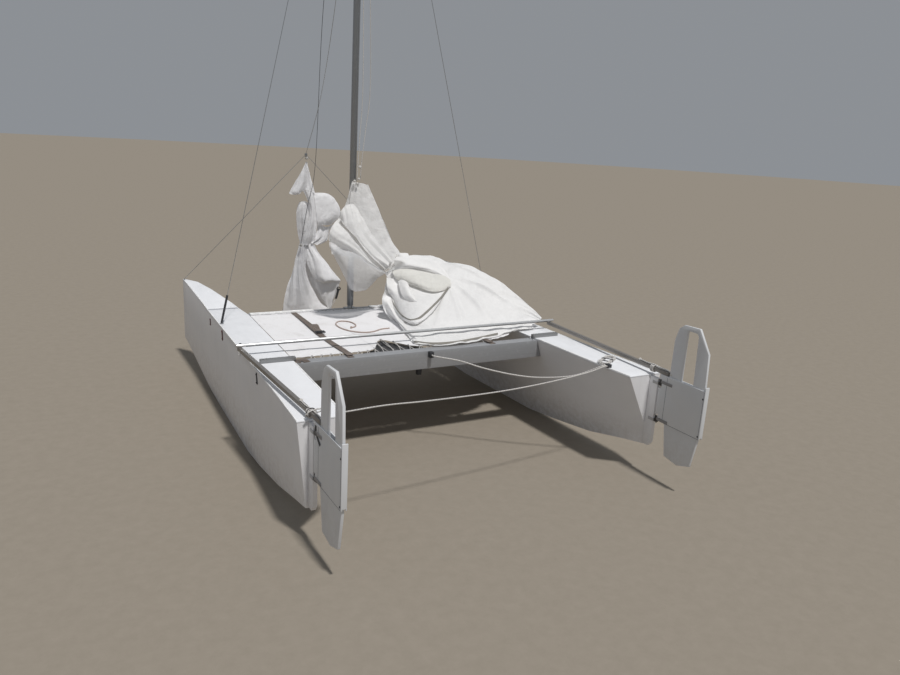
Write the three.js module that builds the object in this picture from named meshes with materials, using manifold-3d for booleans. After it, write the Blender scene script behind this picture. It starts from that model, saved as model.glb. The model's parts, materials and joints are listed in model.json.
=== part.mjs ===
// A small two-hulled sailing boat with flat plywood-like panels, lying on its two keels, sails lowered.
// Millimetres. +X is starboard, +Y is towards the bows, +Z is up.
// Working coordinates: y = 0 at the transoms, z = 0 on the decks; the last group moves them to the floor.
import * as THREE from 'three';
import { mergeVertices } from 'three/addons/utils/BufferGeometryUtils.js';
import Module from 'manifold-3d';

const wasm = await Module();
wasm.setup();

// Seat gap between touching pieces
const GAP = 0.3;

// Hulls: outboard side flaring out towards the stern, inboard panel slanting down to the keel
// Rudders hang at RUDDER_X, a little inside the outer deck edge
const RUDDER_X = 1100;
const HULL_LENGTH = 3356;
const KEEL_WIDTH = 24;
const DECK_T = 8;
const DECK_Z = 650;
const STEM_X = 1080;
// The foredeck panel starts at this seam
const SEAM_Y = 2380;
// Stations along a hull: y, outer and inner deck edge x, the deck's height above its level part,
// the keel's outer x, its depth and how far up its inner side the slanted panel ends
const STATIONS = [
  { y: 0, outer: 1172, inner: 925, top: 0, low: 1124, keel: -465, strip: 115 },
  { y: 180, outer: 1164, inner: 910, top: 0, low: 1120, keel: -500, strip: 60 },
  { y: 500, outer: 1147, inner: 898, top: 0, low: 1112, keel: -570, strip: 25 },
  { y: 900, outer: 1132, inner: 882, top: 0, low: 1108, keel: -622, strip: 20 },
  { y: 1200, outer: 1124, inner: 870, top: 0, low: 1100, keel: -DECK_Z, strip: 20 },
  { y: 1500, outer: 1116, inner: 858, top: 0, low: 1092, keel: -DECK_Z, strip: 20 },
  { y: 2140, outer: 1094, inner: 836, top: 0, low: 1073, keel: -DECK_Z, strip: 20 },
  { y: SEAM_Y, outer: 1086, inner: 853, top: 0, low: 1070, keel: -636, strip: 20 },
  { y: 2540, outer: 1081, inner: 866, top: 7, low: 1068, keel: -618, strip: 20 },
  { y: 2980, outer: 1076, inner: 926, top: 27, low: 1068, keel: -543, strip: 20 },
  { y: 3240, outer: 1077, inner: 980, top: 39, low: 1072, keel: -492, strip: 20 },
  { y: HULL_LENGTH, outer: STEM_X, inner: STEM_X - 16, top: 45, low: STEM_X - 2, keel: -466, strip: 12 },
];

// Sternpost boards and rudder hardware
const POST_T = 25;
const POST_AFT = -70;
const POST_BOTTOM = -455;
const PIN_Y = -87.5;
const PIN_R = 4;
const EYE_R = 11;
const STRAP_T = 3;
const STRAP_H = 18;
const STRAP_LEVELS = { upper: -45, lower: -282 };

// Rudder boxes: two cheeks, a front block and a trailing strip round the blade
const CHEEK_T = 6;
const BLADE_T = 16;
const BLADE_PLAY = 0.7;
const BOX_FRONT = -105;
const BLOCK_AFT = -147;
const STRIP_FRONT = -436;
// The front block reaches further forward clear of the hinge eyes: lowest and highest level of each lip
const LIP_FRONT = -84;
const LIPS = [[-230, -60], [-4, 28]];
const BOX_AFT = -444;
const BOX_TOP = 28;
const BOX_BOTTOM = -268;
const STRIP_TOP = 50;
const BOX_HALF = BLADE_T / 2 + BLADE_PLAY + CHEEK_T;
// The port blade hangs this much lower than the starboard one
const PORT_DROP = 25;

// Tillers and the bar that joins them
const TILLER_W = 24;
const TILLER_H = 24;
const TILLER_TOE = 52;
const TILLER_AFT = -145;
const TILLER_FRONT = 1165;
const BAR_Y = 1140;
const BAR_R = 10;
const BAR_LIFT = 2;
const BAR_END = 1175;

// Cross beams, trampoline and straps
const REAR_BEAM = { aft: 913, front: 993, bottom: -130 };
const FRONT_BEAM = { aft: 2150, front: 2215, bottom: -95 };
const BEAM_REACH = 980;
const DECK_BAR = { inner: 868, outer: 1082, aft: 945, front: 977, top: 23 };
const TRAMP_T = 5;
const STRAP_X = 520;
const STRAP_W = 50;

// Mast and stays; the mast stands a little to port of the middle, as seen
const MAST_X = -30;
const MAST_Y = 2183;
const MAST_W = 46;
const MAST_L = 60;
const STEP_H = 26;
const MAST_TOP = 4940;
const HOUND_Z = 4300;
const CHAIN_X = 1083;
const CHAIN_Y = 1925;
const LASHING_SHARE = 0.045;
const WIRE_R = 2;
const RING = new THREE.Vector3(-38, 3250, 1117);
const BOW_EYE = { x: STEM_X - 8, y: 3325 };
// The slack forestay's bends, from the ring up to the hounds
const FORESTAY_BENDS = [
  { y: 2900, z: 1595 },
  { y: 2560, z: 2400 },
  { y: 2330, z: 3300 },
];

// Lowered sails: cloth lies this high on the trampoline and stays below the moving tiller bar
const CLOTH_LOW = 2 * GAP;
const UNDER_BAR = 22;
const HEAP_AFT = 1175;
const HUNG_Y = 2054;
const HUNG_RY = 98.7;

// A loose line lying on the trampoline, from under the heap to its knotted end: x, y
const LOOSE_LINE_R = 4.5;
const LOOSE_LINE = [
  [0, 1500],
  [-62, 1492],
  [-140, 1450],
  [-215, 1442],
  [-282, 1492],
  [-320, 1572],
  [-332, 1662],
  [-312, 1742],
  [-262, 1785],
  [-210, 1760],
  [-192, 1690],
  [-210, 1620],
  [-250, 1590],
];

// The hank lies across the starboard deck: the middles of its two bends and its half width
const HANK = { aft: [950, 277], front: [1062, 347], r: 36 };

// Colours
const WHITE = { color: 0xe9ebee, roughness: 0.55, metalness: 0 };
const DECK = { color: 0xf3f4f4, roughness: 0.6, metalness: 0 };
const GREY = { color: 0xb9bcc0, roughness: 0.5, metalness: 0.1 };
const ALLOY = { color: 0xaeb0b2, roughness: 0.35, metalness: 0.85 };
const STEEL = { color: 0x8e9092, roughness: 0.3, metalness: 0.95 };
const BLACK = { color: 0x202124, roughness: 0.5, metalness: 0 };
const CLOTH = { color: 0xeceae4, roughness: 0.9, metalness: 0 };
const WEB = { color: 0x8a7867, roughness: 0.9, metalness: 0 };
const ROPE = { color: 0xe2e0d8, roughness: 0.9, metalness: 0 };

const boat = new THREE.Group();

function place(name, geometry, look) {
  const mesh = new THREE.Mesh(geometry, new THREE.MeshStandardMaterial(look));
  mesh.name = name;
  boat.add(mesh);
}

// Mirror across the centreline and keep the faces pointing out
function mirrored(geometry) {
  const flat = geometry.index ? geometry.toNonIndexed() : geometry.clone();
  const p = flat.attributes.position;
  const out = new Float32Array(p.count * 3);
  for (let t = 0; t < p.count; t += 3) {
    [t, t + 2, t + 1].forEach((from, k) => {
      out[(t + k) * 3] = -p.getX(from);
      out[(t + k) * 3 + 1] = p.getY(from);
      out[(t + k) * 3 + 2] = p.getZ(from);
    });
  }
  const result = new THREE.BufferGeometry();
  result.setAttribute('position', new THREE.BufferAttribute(out, 3));
  return result;
}

function pair(name, geometry, look) {
  place(`${name}_starboard`, geometry, look);
  place(`${name}_port`, mirrored(geometry), look);
}

// Solids for joining and cutting
function solid(geometry) {
  const clean = geometry.clone();
  clean.deleteAttribute('normal');
  clean.deleteAttribute('uv');
  const merged = mergeVertices(clean, 1e-3);
  const mesh = new wasm.Mesh({
    numProp: 3,
    vertProperties: new Float32Array(merged.attributes.position.array),
    triVerts: new Uint32Array(merged.index.array),
  });
  return new wasm.Manifold(mesh);
}

function shell(body) {
  const mesh = body.getMesh();
  const geometry = new THREE.BufferGeometry();
  geometry.setAttribute('position', new THREE.BufferAttribute(new Float32Array(mesh.vertProperties), 3));
  geometry.setIndex(new THREE.BufferAttribute(new Uint32Array(mesh.triVerts), 1));
  return geometry;
}

function joined(list) {
  return shell(list.map(solid).reduce((a, b) => a.add(b)));
}

function cut(base, tools) {
  return shell(tools.map(solid).reduce((a, b) => a.subtract(b), solid(base)));
}

function box(x0, x1, y0, y1, z0, z1) {
  const g = new THREE.BoxGeometry(x1 - x0, y1 - y0, z1 - z0);
  g.translate((x0 + x1) / 2, (y0 + y1) / 2, (z0 + z1) / 2);
  return g;
}

function outline(points) {
  return new THREE.Shape(points.map(([u, v]) => new THREE.Vector2(u, v)));
}

// Plan outline (x, y) raised from z0 to z1
function raised(shape, z0, z1) {
  const g = new THREE.ExtrudeGeometry(shape, { depth: z1 - z0, bevelEnabled: false, curveSegments: 8 });
  g.translate(0, 0, z0);
  return g;
}

// Side outline (y, z) made thick from x0 to x1
function sideways(shape, x0, x1) {
  const g = new THREE.ExtrudeGeometry(shape, { depth: x1 - x0, bevelEnabled: false, curveSegments: 6 });
  const axes = new THREE.Matrix4().makeBasis(
    new THREE.Vector3(0, 1, 0),
    new THREE.Vector3(0, 0, 1),
    new THREE.Vector3(1, 0, 0),
  );
  g.applyMatrix4(axes);
  g.translate(x0, 0, 0);
  return g;
}

function upright(x, y, z0, z1, r, sides = 16) {
  const g = new THREE.CylinderGeometry(r, r, z1 - z0, sides);
  g.rotateX(Math.PI / 2);
  g.translate(x, y, (z0 + z1) / 2);
  return g;
}

// Rod of a few sides between two points
function rod(a, b, r, sides = 8) {
  const span = new THREE.Vector3().subVectors(b, a);
  const g = new THREE.CylinderGeometry(r, r, span.length(), sides);
  const rise = new THREE.Vector3(0, 1, 0);
  const turn = new THREE.Quaternion().setFromUnitVectors(rise, span.clone().normalize());
  g.applyQuaternion(turn);
  g.translate((a.x + b.x) / 2, (a.y + b.y) / 2, (a.z + b.z) / 2);
  return g;
}

function disc(r, sides) {
  const shape = new THREE.Shape();
  for (let i = 0; i < sides; i += 1) {
    const a = (i / sides) * 2 * Math.PI;
    if (i === 0) shape.moveTo(r * Math.cos(a), r * Math.sin(a));
    else shape.lineTo(r * Math.cos(a), r * Math.sin(a));
  }
  return shape;
}

function tube(points, r, sides, steps) {
  const path = new THREE.CatmullRomCurve3(points, false, 'centripetal');
  return new THREE.ExtrudeGeometry(disc(r, sides), { steps, extrudePath: path, bevelEnabled: false });
}

// Closed skin through rings of points, all rings with the same number of points
function loft(rings) {
  const n = rings[0].length;
  const verts = [];
  const faces = [];
  rings.forEach((ring) => ring.forEach((p) => verts.push(p.x, p.y, p.z)));
  for (let r = 0; r < rings.length - 1; r += 1) {
    for (let i = 0; i < n; i += 1) {
      const a = r * n + i;
      const b = r * n + ((i + 1) % n);
      faces.push(a, b, b + n, a, b + n, a + n);
    }
  }
  const last = (rings.length - 1) * n;
  for (let i = 1; i < n - 1; i += 1) {
    faces.push(0, i + 1, i);
    faces.push(last, last + i, last + i + 1);
  }
  const g = new THREE.BufferGeometry();
  g.setAttribute('position', new THREE.BufferAttribute(new Float32Array(verts), 3));
  g.setIndex(facesOut(rings, faces));
  return g;
}

// Turn the triangles over where the rings run the other way round
function facesOut(rings, faces) {
  const points = rings.flat();
  let volume = 0;
  for (let i = 0; i < faces.length; i += 3) {
    const [a, b, c] = [points[faces[i]], points[faces[i + 1]], points[faces[i + 2]]];
    volume += a.dot(new THREE.Vector3().crossVectors(b, c));
  }
  return volume > 0 ? faces : faces.reverse();
}

// A station's value (such as inner or top) at any y along the hull
function along(key, y) {
  const i = Math.max(1, STATIONS.findIndex((s) => s.y >= y));
  const [a, b] = [STATIONS[i - 1], STATIONS[i]];
  return a[key] + ((b[key] - a[key]) * (y - a.y)) / (b.y - a.y);
}

// Deck panel through some of the stations
function deckPanel(rows) {
  return loft(rows.map((s) => [
    new THREE.Vector3(s.outer, s.y, s.top),
    new THREE.Vector3(s.inner, s.y, s.top),
    new THREE.Vector3(s.inner, s.y, s.top - DECK_T),
    new THREE.Vector3(s.outer, s.y, s.top - DECK_T),
  ]));
}

// Hulls: the slanted panel ends on the inner side of a narrow upright keel strip
function makeHulls() {
  const rings = STATIONS.map((s) => {
    const inside = s.low - Math.min(KEEL_WIDTH, (s.outer - s.inner) * 0.9);
    return [
      new THREE.Vector3(s.outer, s.y, s.top - DECK_T - GAP),
      new THREE.Vector3(s.inner, s.y, s.top - DECK_T - GAP),
      new THREE.Vector3(inside, s.y, s.keel + s.strip),
      new THREE.Vector3(inside, s.y, s.keel),
      new THREE.Vector3(s.low, s.y, s.keel),
    ];
  });
  const hull = loft(rings);
  pair('hull', hull, WHITE);
  pair('deck', deckPanel(STATIONS.filter((s) => s.y <= SEAM_Y)), DECK);
  const fore = STATIONS.filter((s) => s.y >= SEAM_Y);
  pair('foredeck', deckPanel(fore.map((s) => ({ ...s, y: Math.max(s.y, SEAM_Y + GAP) }))), DECK);
  return hull;
}

// Boards that carry the rudders, standing aft of the outboard sides
function makeSternposts() {
  const x0 = RUDDER_X - POST_T / 2;
  const profile = outline([
    [-GAP, -DECK_T],
    [-GAP, POST_BOTTOM + 20],
    [-14, POST_BOTTOM],
    [-50, POST_BOTTOM],
    [POST_AFT, POST_BOTTOM + 30],
    [POST_AFT, -DECK_T],
  ]);
  pair('sternpost', sideways(profile, x0, x0 + POST_T), WHITE);
}

// Eye on a strap that clasps a board between two y positions
function clasp(y0, y1, half, eyeFrom) {
  const outer = half + GAP + STRAP_T;
  const inner = half + GAP;
  const towards = Math.sign(y1 - y0);
  const shape = outline([
    [RUDDER_X - outer, y0],
    [RUDDER_X - inner, y0],
    [RUDDER_X - inner, y1 + towards * GAP],
    [RUDDER_X + inner, y1 + towards * GAP],
    [RUDDER_X + inner, y0],
    [RUDDER_X + outer, y0],
    [RUDDER_X + outer, y1 + towards * (GAP + STRAP_T)],
    [RUDDER_X - outer, y1 + towards * (GAP + STRAP_T)],
  ]);
  return { shape, eyeFrom };
}

function strapSolid(clip, z0, z1, tongueTo) {
  const band = raised(clip.shape, z0, z1);
  const [aft, front] = [clip.eyeFrom, tongueTo].sort((a, b) => a - b);
  const tongue = box(RUDDER_X - EYE_R, RUDDER_X + EYE_R, aft, front, z0, z1);
  const eye = upright(RUDDER_X, PIN_Y, z0, z1, EYE_R);
  return [band, tongue, eye];
}

function makeHinges() {
  Object.entries(STRAP_LEVELS).forEach(([level, z]) => {
    const post = clasp(-30, POST_AFT, POST_T / 2, POST_AFT - GAP - 1);
    const plate = strapSolid(post, z, z + STRAP_H, PIN_Y);
    const holes = [upright(RUDDER_X, PIN_Y, z - 1, z + STRAP_H + 1, PIN_R + 1, 20)];
    pair(`gudgeon_${level}`, cut(joined(plate), holes), BLACK);
    const top = z + STRAP_H + GAP;
    const cheek = clasp(-190, BOX_FRONT, BOX_HALF, BOX_FRONT + GAP + 1);
    const arm = strapSolid(cheek, top, top + STRAP_H, PIN_Y);
    const pin = upright(RUDDER_X, PIN_Y, z - 8, top + 4, PIN_R, 12);
    pair(`pintle_${level}`, joined([...arm, pin]), BLACK);
  });
}

function makeRudders() {
  const inner = BLADE_T / 2 + BLADE_PLAY;
  const cheeks = [-1, 1].map((s) => {
    const a = RUDDER_X + s * inner;
    const b = RUDDER_X + s * BOX_HALF;
    return box(Math.min(a, b), Math.max(a, b), BOX_AFT, BOX_FRONT, BOX_BOTTOM, BOX_TOP);
  });
  const wide = [RUDDER_X - BOX_HALF, RUDDER_X + BOX_HALF];
  const block = box(...wide, BLOCK_AFT, BOX_FRONT, BOX_BOTTOM, BOX_TOP);
  const strip = box(...wide, BOX_AFT, STRIP_FRONT, BOX_BOTTOM + 8, STRIP_TOP);
  const lips = LIPS.map(([low, high]) => box(...wide, BOX_FRONT - 1, LIP_FRONT, low, high));
  pair('rudder_box', joined([...cheeks, block, strip, ...lips]), WHITE);

  const profile = outline([
    [-152, 60],
    [-155, 262],
    [-178, 338],
    [-215, 366],
    [-334, 371],
    [-420, 240],
    [-430, 40],
    [-432, -262],
    [-396, -458],
    [-300, -488],
    [-190, -470],
    [-158, -270],
  ]);
  const slot = new THREE.Path();
  slot.moveTo(-246, 20);
  slot.lineTo(-246, 322);
  slot.lineTo(-254, 338);
  slot.lineTo(-318, 338);
  slot.lineTo(-330, 322);
  slot.lineTo(-340, 20);
  profile.holes.push(slot);
  const blade = sideways(profile, RUDDER_X - BLADE_T / 2, RUDDER_X + BLADE_T / 2);
  place('rudder_blade_starboard', blade, WHITE);
  place('rudder_blade_port', mirrored(blade).translate(0, 0, -PORT_DROP), WHITE);
}

function makeTillers() {
  const z0 = BOX_TOP + GAP;
  const slope = TILLER_TOE / (TILLER_FRONT - PIN_Y);
  const centre = (y) => RUDDER_X + slope * (y - PIN_Y);
  const plan = outline([
    [centre(TILLER_AFT) + TILLER_W / 2, TILLER_AFT],
    [centre(TILLER_FRONT) + TILLER_W / 2, TILLER_FRONT],
    [centre(TILLER_FRONT) - TILLER_W / 2, TILLER_FRONT],
    [centre(TILLER_AFT) - TILLER_W / 2, TILLER_AFT],
  ]);
  pair('tiller', raised(plan, z0, z0 + TILLER_H), ALLOY);

  const pivot = centre(BAR_Y);
  const low = z0 + TILLER_H + BAR_LIFT;
  const end = new THREE.Vector3(BAR_END, BAR_Y, low + BAR_R);
  const bar = rod(end.clone().setX(-BAR_END), end, BAR_R, 16);
  const hole = upright(-pivot, BAR_Y, low - 1, low + 2 * BAR_R + 1, 4, 16);
  place('tiller_bar', cut(bar, [hole]), ALLOY);
  const pin = [
    upright(-pivot, BAR_Y, z0 + TILLER_H + GAP, low + 2 * BAR_R + 4, 3, 12),
    upright(-pivot, BAR_Y, low + 2 * BAR_R + 1, low + 2 * BAR_R + 5, 8, 12),
  ];
  place('tiller_pin_port', joined(pin), STEEL);
}

// Box beam between the two inboard panels, with ends cut to their slant
function beam(spec, hull) {
  const near = hull.clone().translate(-GAP, 0, 0);
  const bar = box(-BEAM_REACH, BEAM_REACH, spec.aft, spec.front, spec.bottom, -DECK_T - 2 * GAP);
  return cut(bar, [near, mirrored(near)]);
}

function makePlatform(hull) {
  place('rear_beam', beam(REAR_BEAM, hull), GREY);
  place('front_beam', beam(FRONT_BEAM, hull), GREY);
  const ends = [REAR_BEAM.aft + 42, FRONT_BEAM.aft - GAP];
  const between = STATIONS.map((s) => s.y).filter((y) => y > ends[0] && y < ends[1]);
  const rows = [ends[0], ...between, ends[1]];
  const right = rows.map((y) => [along('inner', y) - GAP, y]);
  const left = rows.map((y) => [-along('inner', y) + GAP, y]).reverse();
  place('trampoline', raised(outline([...right, ...left]), -DECK_T, -DECK_T + TRAMP_T), CLOTH);
  const strapZ = -DECK_T + TRAMP_T + GAP;
  const [near, far] = [STRAP_X - STRAP_W / 2, STRAP_X + STRAP_W / 2];
  pair('hiking_strap', box(near, far, 962, FRONT_BEAM.aft - 8, strapZ, strapZ + 3), WEB);
  const { inner, outer, aft, front, top } = DECK_BAR;
  pair('deck_bar', box(inner, outer, aft, front, GAP, top), ALLOY);
}

function makeRig() {
  const stepTop = -DECK_T - GAP + STEP_H;
  const base = -DECK_T - GAP;
  const half = MAST_W / 2;
  const rig = new THREE.Vector3(MAST_X, MAST_Y, 0);
  const onMast = (geometry) => geometry.translate(rig.x, rig.y, rig.z);
  place('mast_step', onMast(joined([
    box(-45, 45, FRONT_BEAM.aft + 4 - MAST_Y, FRONT_BEAM.front - 4 - MAST_Y, base, base + 8),
    upright(0, 0, base, stepTop, 19, 16),
  ])), ALLOY);
  const section = outline([
    [-10, -MAST_L / 2],
    [10, -MAST_L / 2],
    [half, -14],
    [half, 8],
    [14, MAST_L / 2 - 5],
    [0, MAST_L / 2],
    [-14, MAST_L / 2 - 5],
    [-half, 8],
    [-half, -14],
  ]);
  place('mast', onMast(raised(section, stepTop + GAP, MAST_TOP)), ALLOY);
  place('masthead', onMast(box(-22, 22, -52, 34, MAST_TOP + GAP, MAST_TOP + 22)), BLACK);
  place('hounds', onMast(joined([
    box(-half - 12, -half - GAP, -14, 40, HOUND_Z - 30, HOUND_Z + 30),
    box(half + GAP, half + 12, -14, 40, HOUND_Z - 30, HOUND_Z + 30),
    box(-half - 12, half + 12, MAST_L / 2 + GAP, 40, HOUND_Z - 30, HOUND_Z + 30),
  ])), STEEL);
  makeShrouds(half + 12 + 2 * GAP + WIRE_R);
  makeForestay();
}

// Shroud of each side from its chainplate to the hounds, with the black lashing at its foot
function makeShrouds(reach) {
  pair('chainplate', box(CHAIN_X - 13, CHAIN_X + 13, CHAIN_Y - 5, CHAIN_Y + 5, GAP, 8), STEEL);
  Object.entries({ starboard: 1, port: -1 }).forEach(([side, sign]) => {
    const eye = new THREE.Vector3(sign * CHAIN_X, CHAIN_Y, 10);
    const top = new THREE.Vector3(MAST_X + sign * reach, MAST_Y + 4, HOUND_Z - 8);
    const split = eye.clone().lerp(top, LASHING_SHARE);
    place(`shroud_lashing_${side}`, rod(eye, eye.clone().lerp(split, 0.99), 8, 10), BLACK);
    place(`shroud_${side}`, rod(split, top, WIRE_R, 8), STEEL);
  });
}

function makeForestay() {
  const top = new THREE.Vector3(MAST_X, MAST_Y + 42 + WIRE_R, HOUND_Z);
  const foot = RING.clone().add(new THREE.Vector3(0, -4, 14 + 4 * GAP));
  const bends = FORESTAY_BENDS.map(({ y, z }) => {
    const share = (y - foot.y) / (top.y - foot.y);
    return new THREE.Vector3(foot.x + (top.x - foot.x) * share, y, z);
  });
  place('forestay', tube([foot, ...bends, top], WIRE_R, 8, 24), STEEL);
  place('bridle_ring', upright(RING.x, RING.y, RING.z - 14, RING.z + 14, 12, 12), STEEL);
  const deck = along('top', BOW_EYE.y + 12) + GAP;
  const eye = [BOW_EYE.x - 5, BOW_EYE.x + 5, BOW_EYE.y - 12, BOW_EYE.y + 12];
  pair('bow_eye', box(...eye, deck, deck + 6), STEEL);
  Object.entries({ starboard: 1, port: -1 }).forEach(([side, sign]) => {
    const start = new THREE.Vector3(sign * BOW_EYE.x, BOW_EYE.y, deck + 8);
    const finish = RING.clone().add(new THREE.Vector3(sign * 14, 0, -8));
    place(`bridle_${side}`, rod(start, finish, WIRE_R, 8), STEEL);
  });
}

// Gathered cloth: rings of a soft round section, each at its own centre
function bundle(rows, sides) {
  const rings = rows.map((row) => {
    const ring = [];
    for (let i = 0; i < sides; i += 1) {
      const a = (i / sides) * 2 * Math.PI;
      ring.push(new THREE.Vector3(row.x + row.rx * Math.cos(a), row.y + row.ry * Math.sin(a), row.z));
    }
    return ring;
  });
  return loft(rings);
}

// Cloth heaped on the trampoline: each row runs from x0 over its peak to x1
function pile(rows) {
  return loft(rows.map(({ y, x0, peak, x1, top }) => {
    const rise = top - CLOTH_LOW;
    return [
      [x0, 0],
      [x0, rise * 0.22],
      [x0 + (peak - x0) * 0.62, rise * 0.8],
      [peak, rise],
      [peak + (x1 - peak) * 0.45, rise * 0.78],
      [x1, rise * 0.2],
      [x1, 0],
    ].map(([x, up]) => new THREE.Vector3(x, y, CLOTH_LOW + up));
  }));
}

function makeSails() {
  place('jib', bundle([
    { x: -15, y: 3240, z: -250, rx: 225, ry: 95 },
    { x: 45, y: 3230, z: -100, rx: 255, ry: 110 },
    { x: 60, y: 3230, z: 20, rx: 240, ry: 100 },
    { x: 20, y: 3240, z: 150, rx: 162, ry: 80 },
    { x: -25, y: 3245, z: 310, rx: 72, ry: 55 },
    { x: -25, y: 3250, z: 410, rx: 50, ry: 40 },
    { x: 40, y: 3250, z: 500, rx: 130, ry: 45 },
    { x: 85, y: 3250, z: 640, rx: 203, ry: 50 },
    { x: 75, y: 3250, z: 740, rx: 165, ry: 45 },
    { x: -55, y: 3250, z: 800, rx: 120, ry: 40 },
    { x: -50, y: 3250, z: 900, rx: 72, ry: 30 },
    { x: -38, y: 3250, z: 1000, rx: 28, ry: 20 },
    { x: RING.x, y: RING.y, z: RING.z - 14 - GAP, rx: 9, ry: 9 },
  ], 16), CLOTH);
  place('mainsail_hung', bundle([
    { x: -40, y: HUNG_Y, z: 140, rx: 60, ry: 55 },
    { x: -20, y: HUNG_Y, z: 210, rx: 130, ry: 85 },
    { x: 0, y: HUNG_Y, z: 350, rx: 205, ry: HUNG_RY },
    { x: 0, y: HUNG_Y, z: 480, rx: 268, ry: HUNG_RY },
    { x: -45, y: HUNG_Y, z: 600, rx: 245, ry: HUNG_RY },
    { x: -40, y: HUNG_Y, z: 770, rx: 150, ry: 70 },
    { x: -60, y: HUNG_Y, z: 965, rx: 70, ry: 25 },
  ], 16), CLOTH);
  place('mainsail_heap', pile([
    { y: HEAP_AFT, x0: 0, peak: 960, x1: 1085, top: 120 },
    { y: 1400, x0: 0, peak: 880, x1: 1080, top: 270 },
    { y: 1600, x0: 20, peak: 780, x1: 1040, top: 370 },
    { y: 1800, x0: 70, peak: 620, x1: 930, top: 440 },
    { y: HUNG_Y - HUNG_RY - GAP, x0: 140, peak: 400, x1: 700, top: 465 },
  ]), CLOTH);
  const foldPlan = outline([
    [0, HEAP_AFT - GAP],
    [90, 1020],
    [200, REAR_BEAM.aft + 20],
    [560, REAR_BEAM.aft + 20],
    [760, 1010],
    [900, 1075],
    [1075, 1090],
    [1085, HEAP_AFT - GAP],
  ]);
  place('mainsail_fold', raised(foldPlan, CLOTH_LOW, UNDER_BAR), CLOTH);
}

function makeRopes() {
  const { aft, bottom } = REAR_BEAM;
  const middle = 23;
  place('block_beam', box(middle - 14, middle + 14, aft - 32, aft - GAP, -50, -10), BLACK);
  place('block_under_beam', box(-50, -20, aft + 20, aft + 50, -175, bottom - GAP), BLACK);
  place('block_deck', box(906, 936, 185, 220, GAP, 22), BLACK);
  place('eye_stern_port', box(-950, -925, 18, 42, GAP, 14), STEEL);
  const from = new THREE.Vector3(middle, aft - 32 - 2 * GAP, -30);
  const to = new THREE.Vector3(906 - 2 * GAP, 208, 12);
  place('mainsheet', tube([
    from,
    from.clone().add(new THREE.Vector3(0, -20, 0)),
    new THREE.Vector3(166, 771, -50),
    new THREE.Vector3(300, 668, -85),
    new THREE.Vector3(456, 549, -109),
    new THREE.Vector3(577, 457, -110),
    new THREE.Vector3(753, 322, -74),
    to.clone().add(new THREE.Vector3(-20, 0, 0)),
    to,
  ], 5, 8, 60), ROPE);
  const rear = new THREE.Vector3(-925 + 2 * GAP, 28, 7);
  const other = new THREE.Vector3(906 - 2 * GAP, 193, 12);
  place('stern_line', tube([
    rear,
    rear.clone().add(new THREE.Vector3(20, 0, 0)),
    new THREE.Vector3(-689, 51, 4),
    new THREE.Vector3(-415, 75, -13),
    new THREE.Vector3(108, 122, -32),
    new THREE.Vector3(496, 156, -24),
    new THREE.Vector3(760, 180, -6),
    other.clone().add(new THREE.Vector3(-20, 0, 0)),
    other,
  ], 4, 8, 60), ROPE);
  const lineZ = -DECK_T + TRAMP_T + GAP + LOOSE_LINE_R;
  const looseRoute = LOOSE_LINE.map(([x, y]) => new THREE.Vector3(x, y, lineZ));
  place('trampoline_line', tube(looseRoute, LOOSE_LINE_R, 8, 48), ROPE);
  const hank = new THREE.Shape();
  const { aft: near, front: far, r } = HANK;
  const turn = Math.atan2(far[1] - near[1], far[0] - near[0]);
  hank.absarc(...near, r, turn + Math.PI / 2, turn + 1.5 * Math.PI);
  hank.absarc(...far, r, turn - Math.PI / 2, turn + Math.PI / 2);
  place('hank', raised(hank, GAP, 20), ROPE);
}

const hullSolid = makeHulls();
makeSternposts();
makeHinges();
makeRudders();
makeTillers();
makePlatform(hullSolid);
makeRig();
makeSails();
makeRopes();

// Stand the boat on its keels, with its origin under the middle of its length
boat.position.set(0, -(HULL_LENGTH + BOX_AFT) / 2, DECK_Z);
const group = new THREE.Group();
group.add(boat);
export default group;
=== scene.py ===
"""The looks of a small white sailing catamaran with its sails lowered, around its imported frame.

Metres. The row frame has +X to starboard, +Y to the bows, +Z up. Places are written in the deck frame,
where y is 0 at the transoms and z is 0 on the decks, and at() turns them into the row frame.
"""
import json
import math

import bmesh
import bpy
import numpy as np
from mathutils import Matrix, Vector, noise
from mathutils.bvhtree import BVHTree


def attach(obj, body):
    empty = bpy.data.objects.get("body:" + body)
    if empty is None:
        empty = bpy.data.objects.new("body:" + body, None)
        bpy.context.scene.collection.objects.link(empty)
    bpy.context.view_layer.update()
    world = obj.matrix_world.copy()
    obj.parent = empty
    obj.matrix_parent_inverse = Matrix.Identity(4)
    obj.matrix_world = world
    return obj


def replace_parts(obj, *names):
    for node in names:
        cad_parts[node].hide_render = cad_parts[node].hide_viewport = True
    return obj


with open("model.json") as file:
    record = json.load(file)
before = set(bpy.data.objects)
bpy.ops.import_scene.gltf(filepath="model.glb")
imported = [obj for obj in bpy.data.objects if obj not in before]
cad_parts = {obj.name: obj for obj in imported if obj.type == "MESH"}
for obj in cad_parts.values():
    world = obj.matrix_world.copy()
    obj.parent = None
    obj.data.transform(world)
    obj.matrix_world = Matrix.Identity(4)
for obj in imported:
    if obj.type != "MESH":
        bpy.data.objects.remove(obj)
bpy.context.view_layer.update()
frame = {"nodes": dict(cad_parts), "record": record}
SIDES = {"starboard": 1, "port": -1}
ACROSS = Vector((1, 0, 0))
AHEAD = Vector((0, 1, 0))
UP = Vector((0, 0, 1))

# The deck frame's place in the row frame
AFT = -1.456
DECK = 0.65

# The camera, in the deck frame: its place, its turns in degrees and its lens in photo pixels
CAMERA = Vector((-2.242, -3.274, 1.362))
CAMERA_AZIMUTH = -29.915
CAMERA_ELEVATION = 14.944
CAMERA_ROLL = 3.385
FOCAL = 758.06
PHOTO = (900, 675)
CENTRE = (450.0, 337.0)
SENSOR = 36.0

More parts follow.
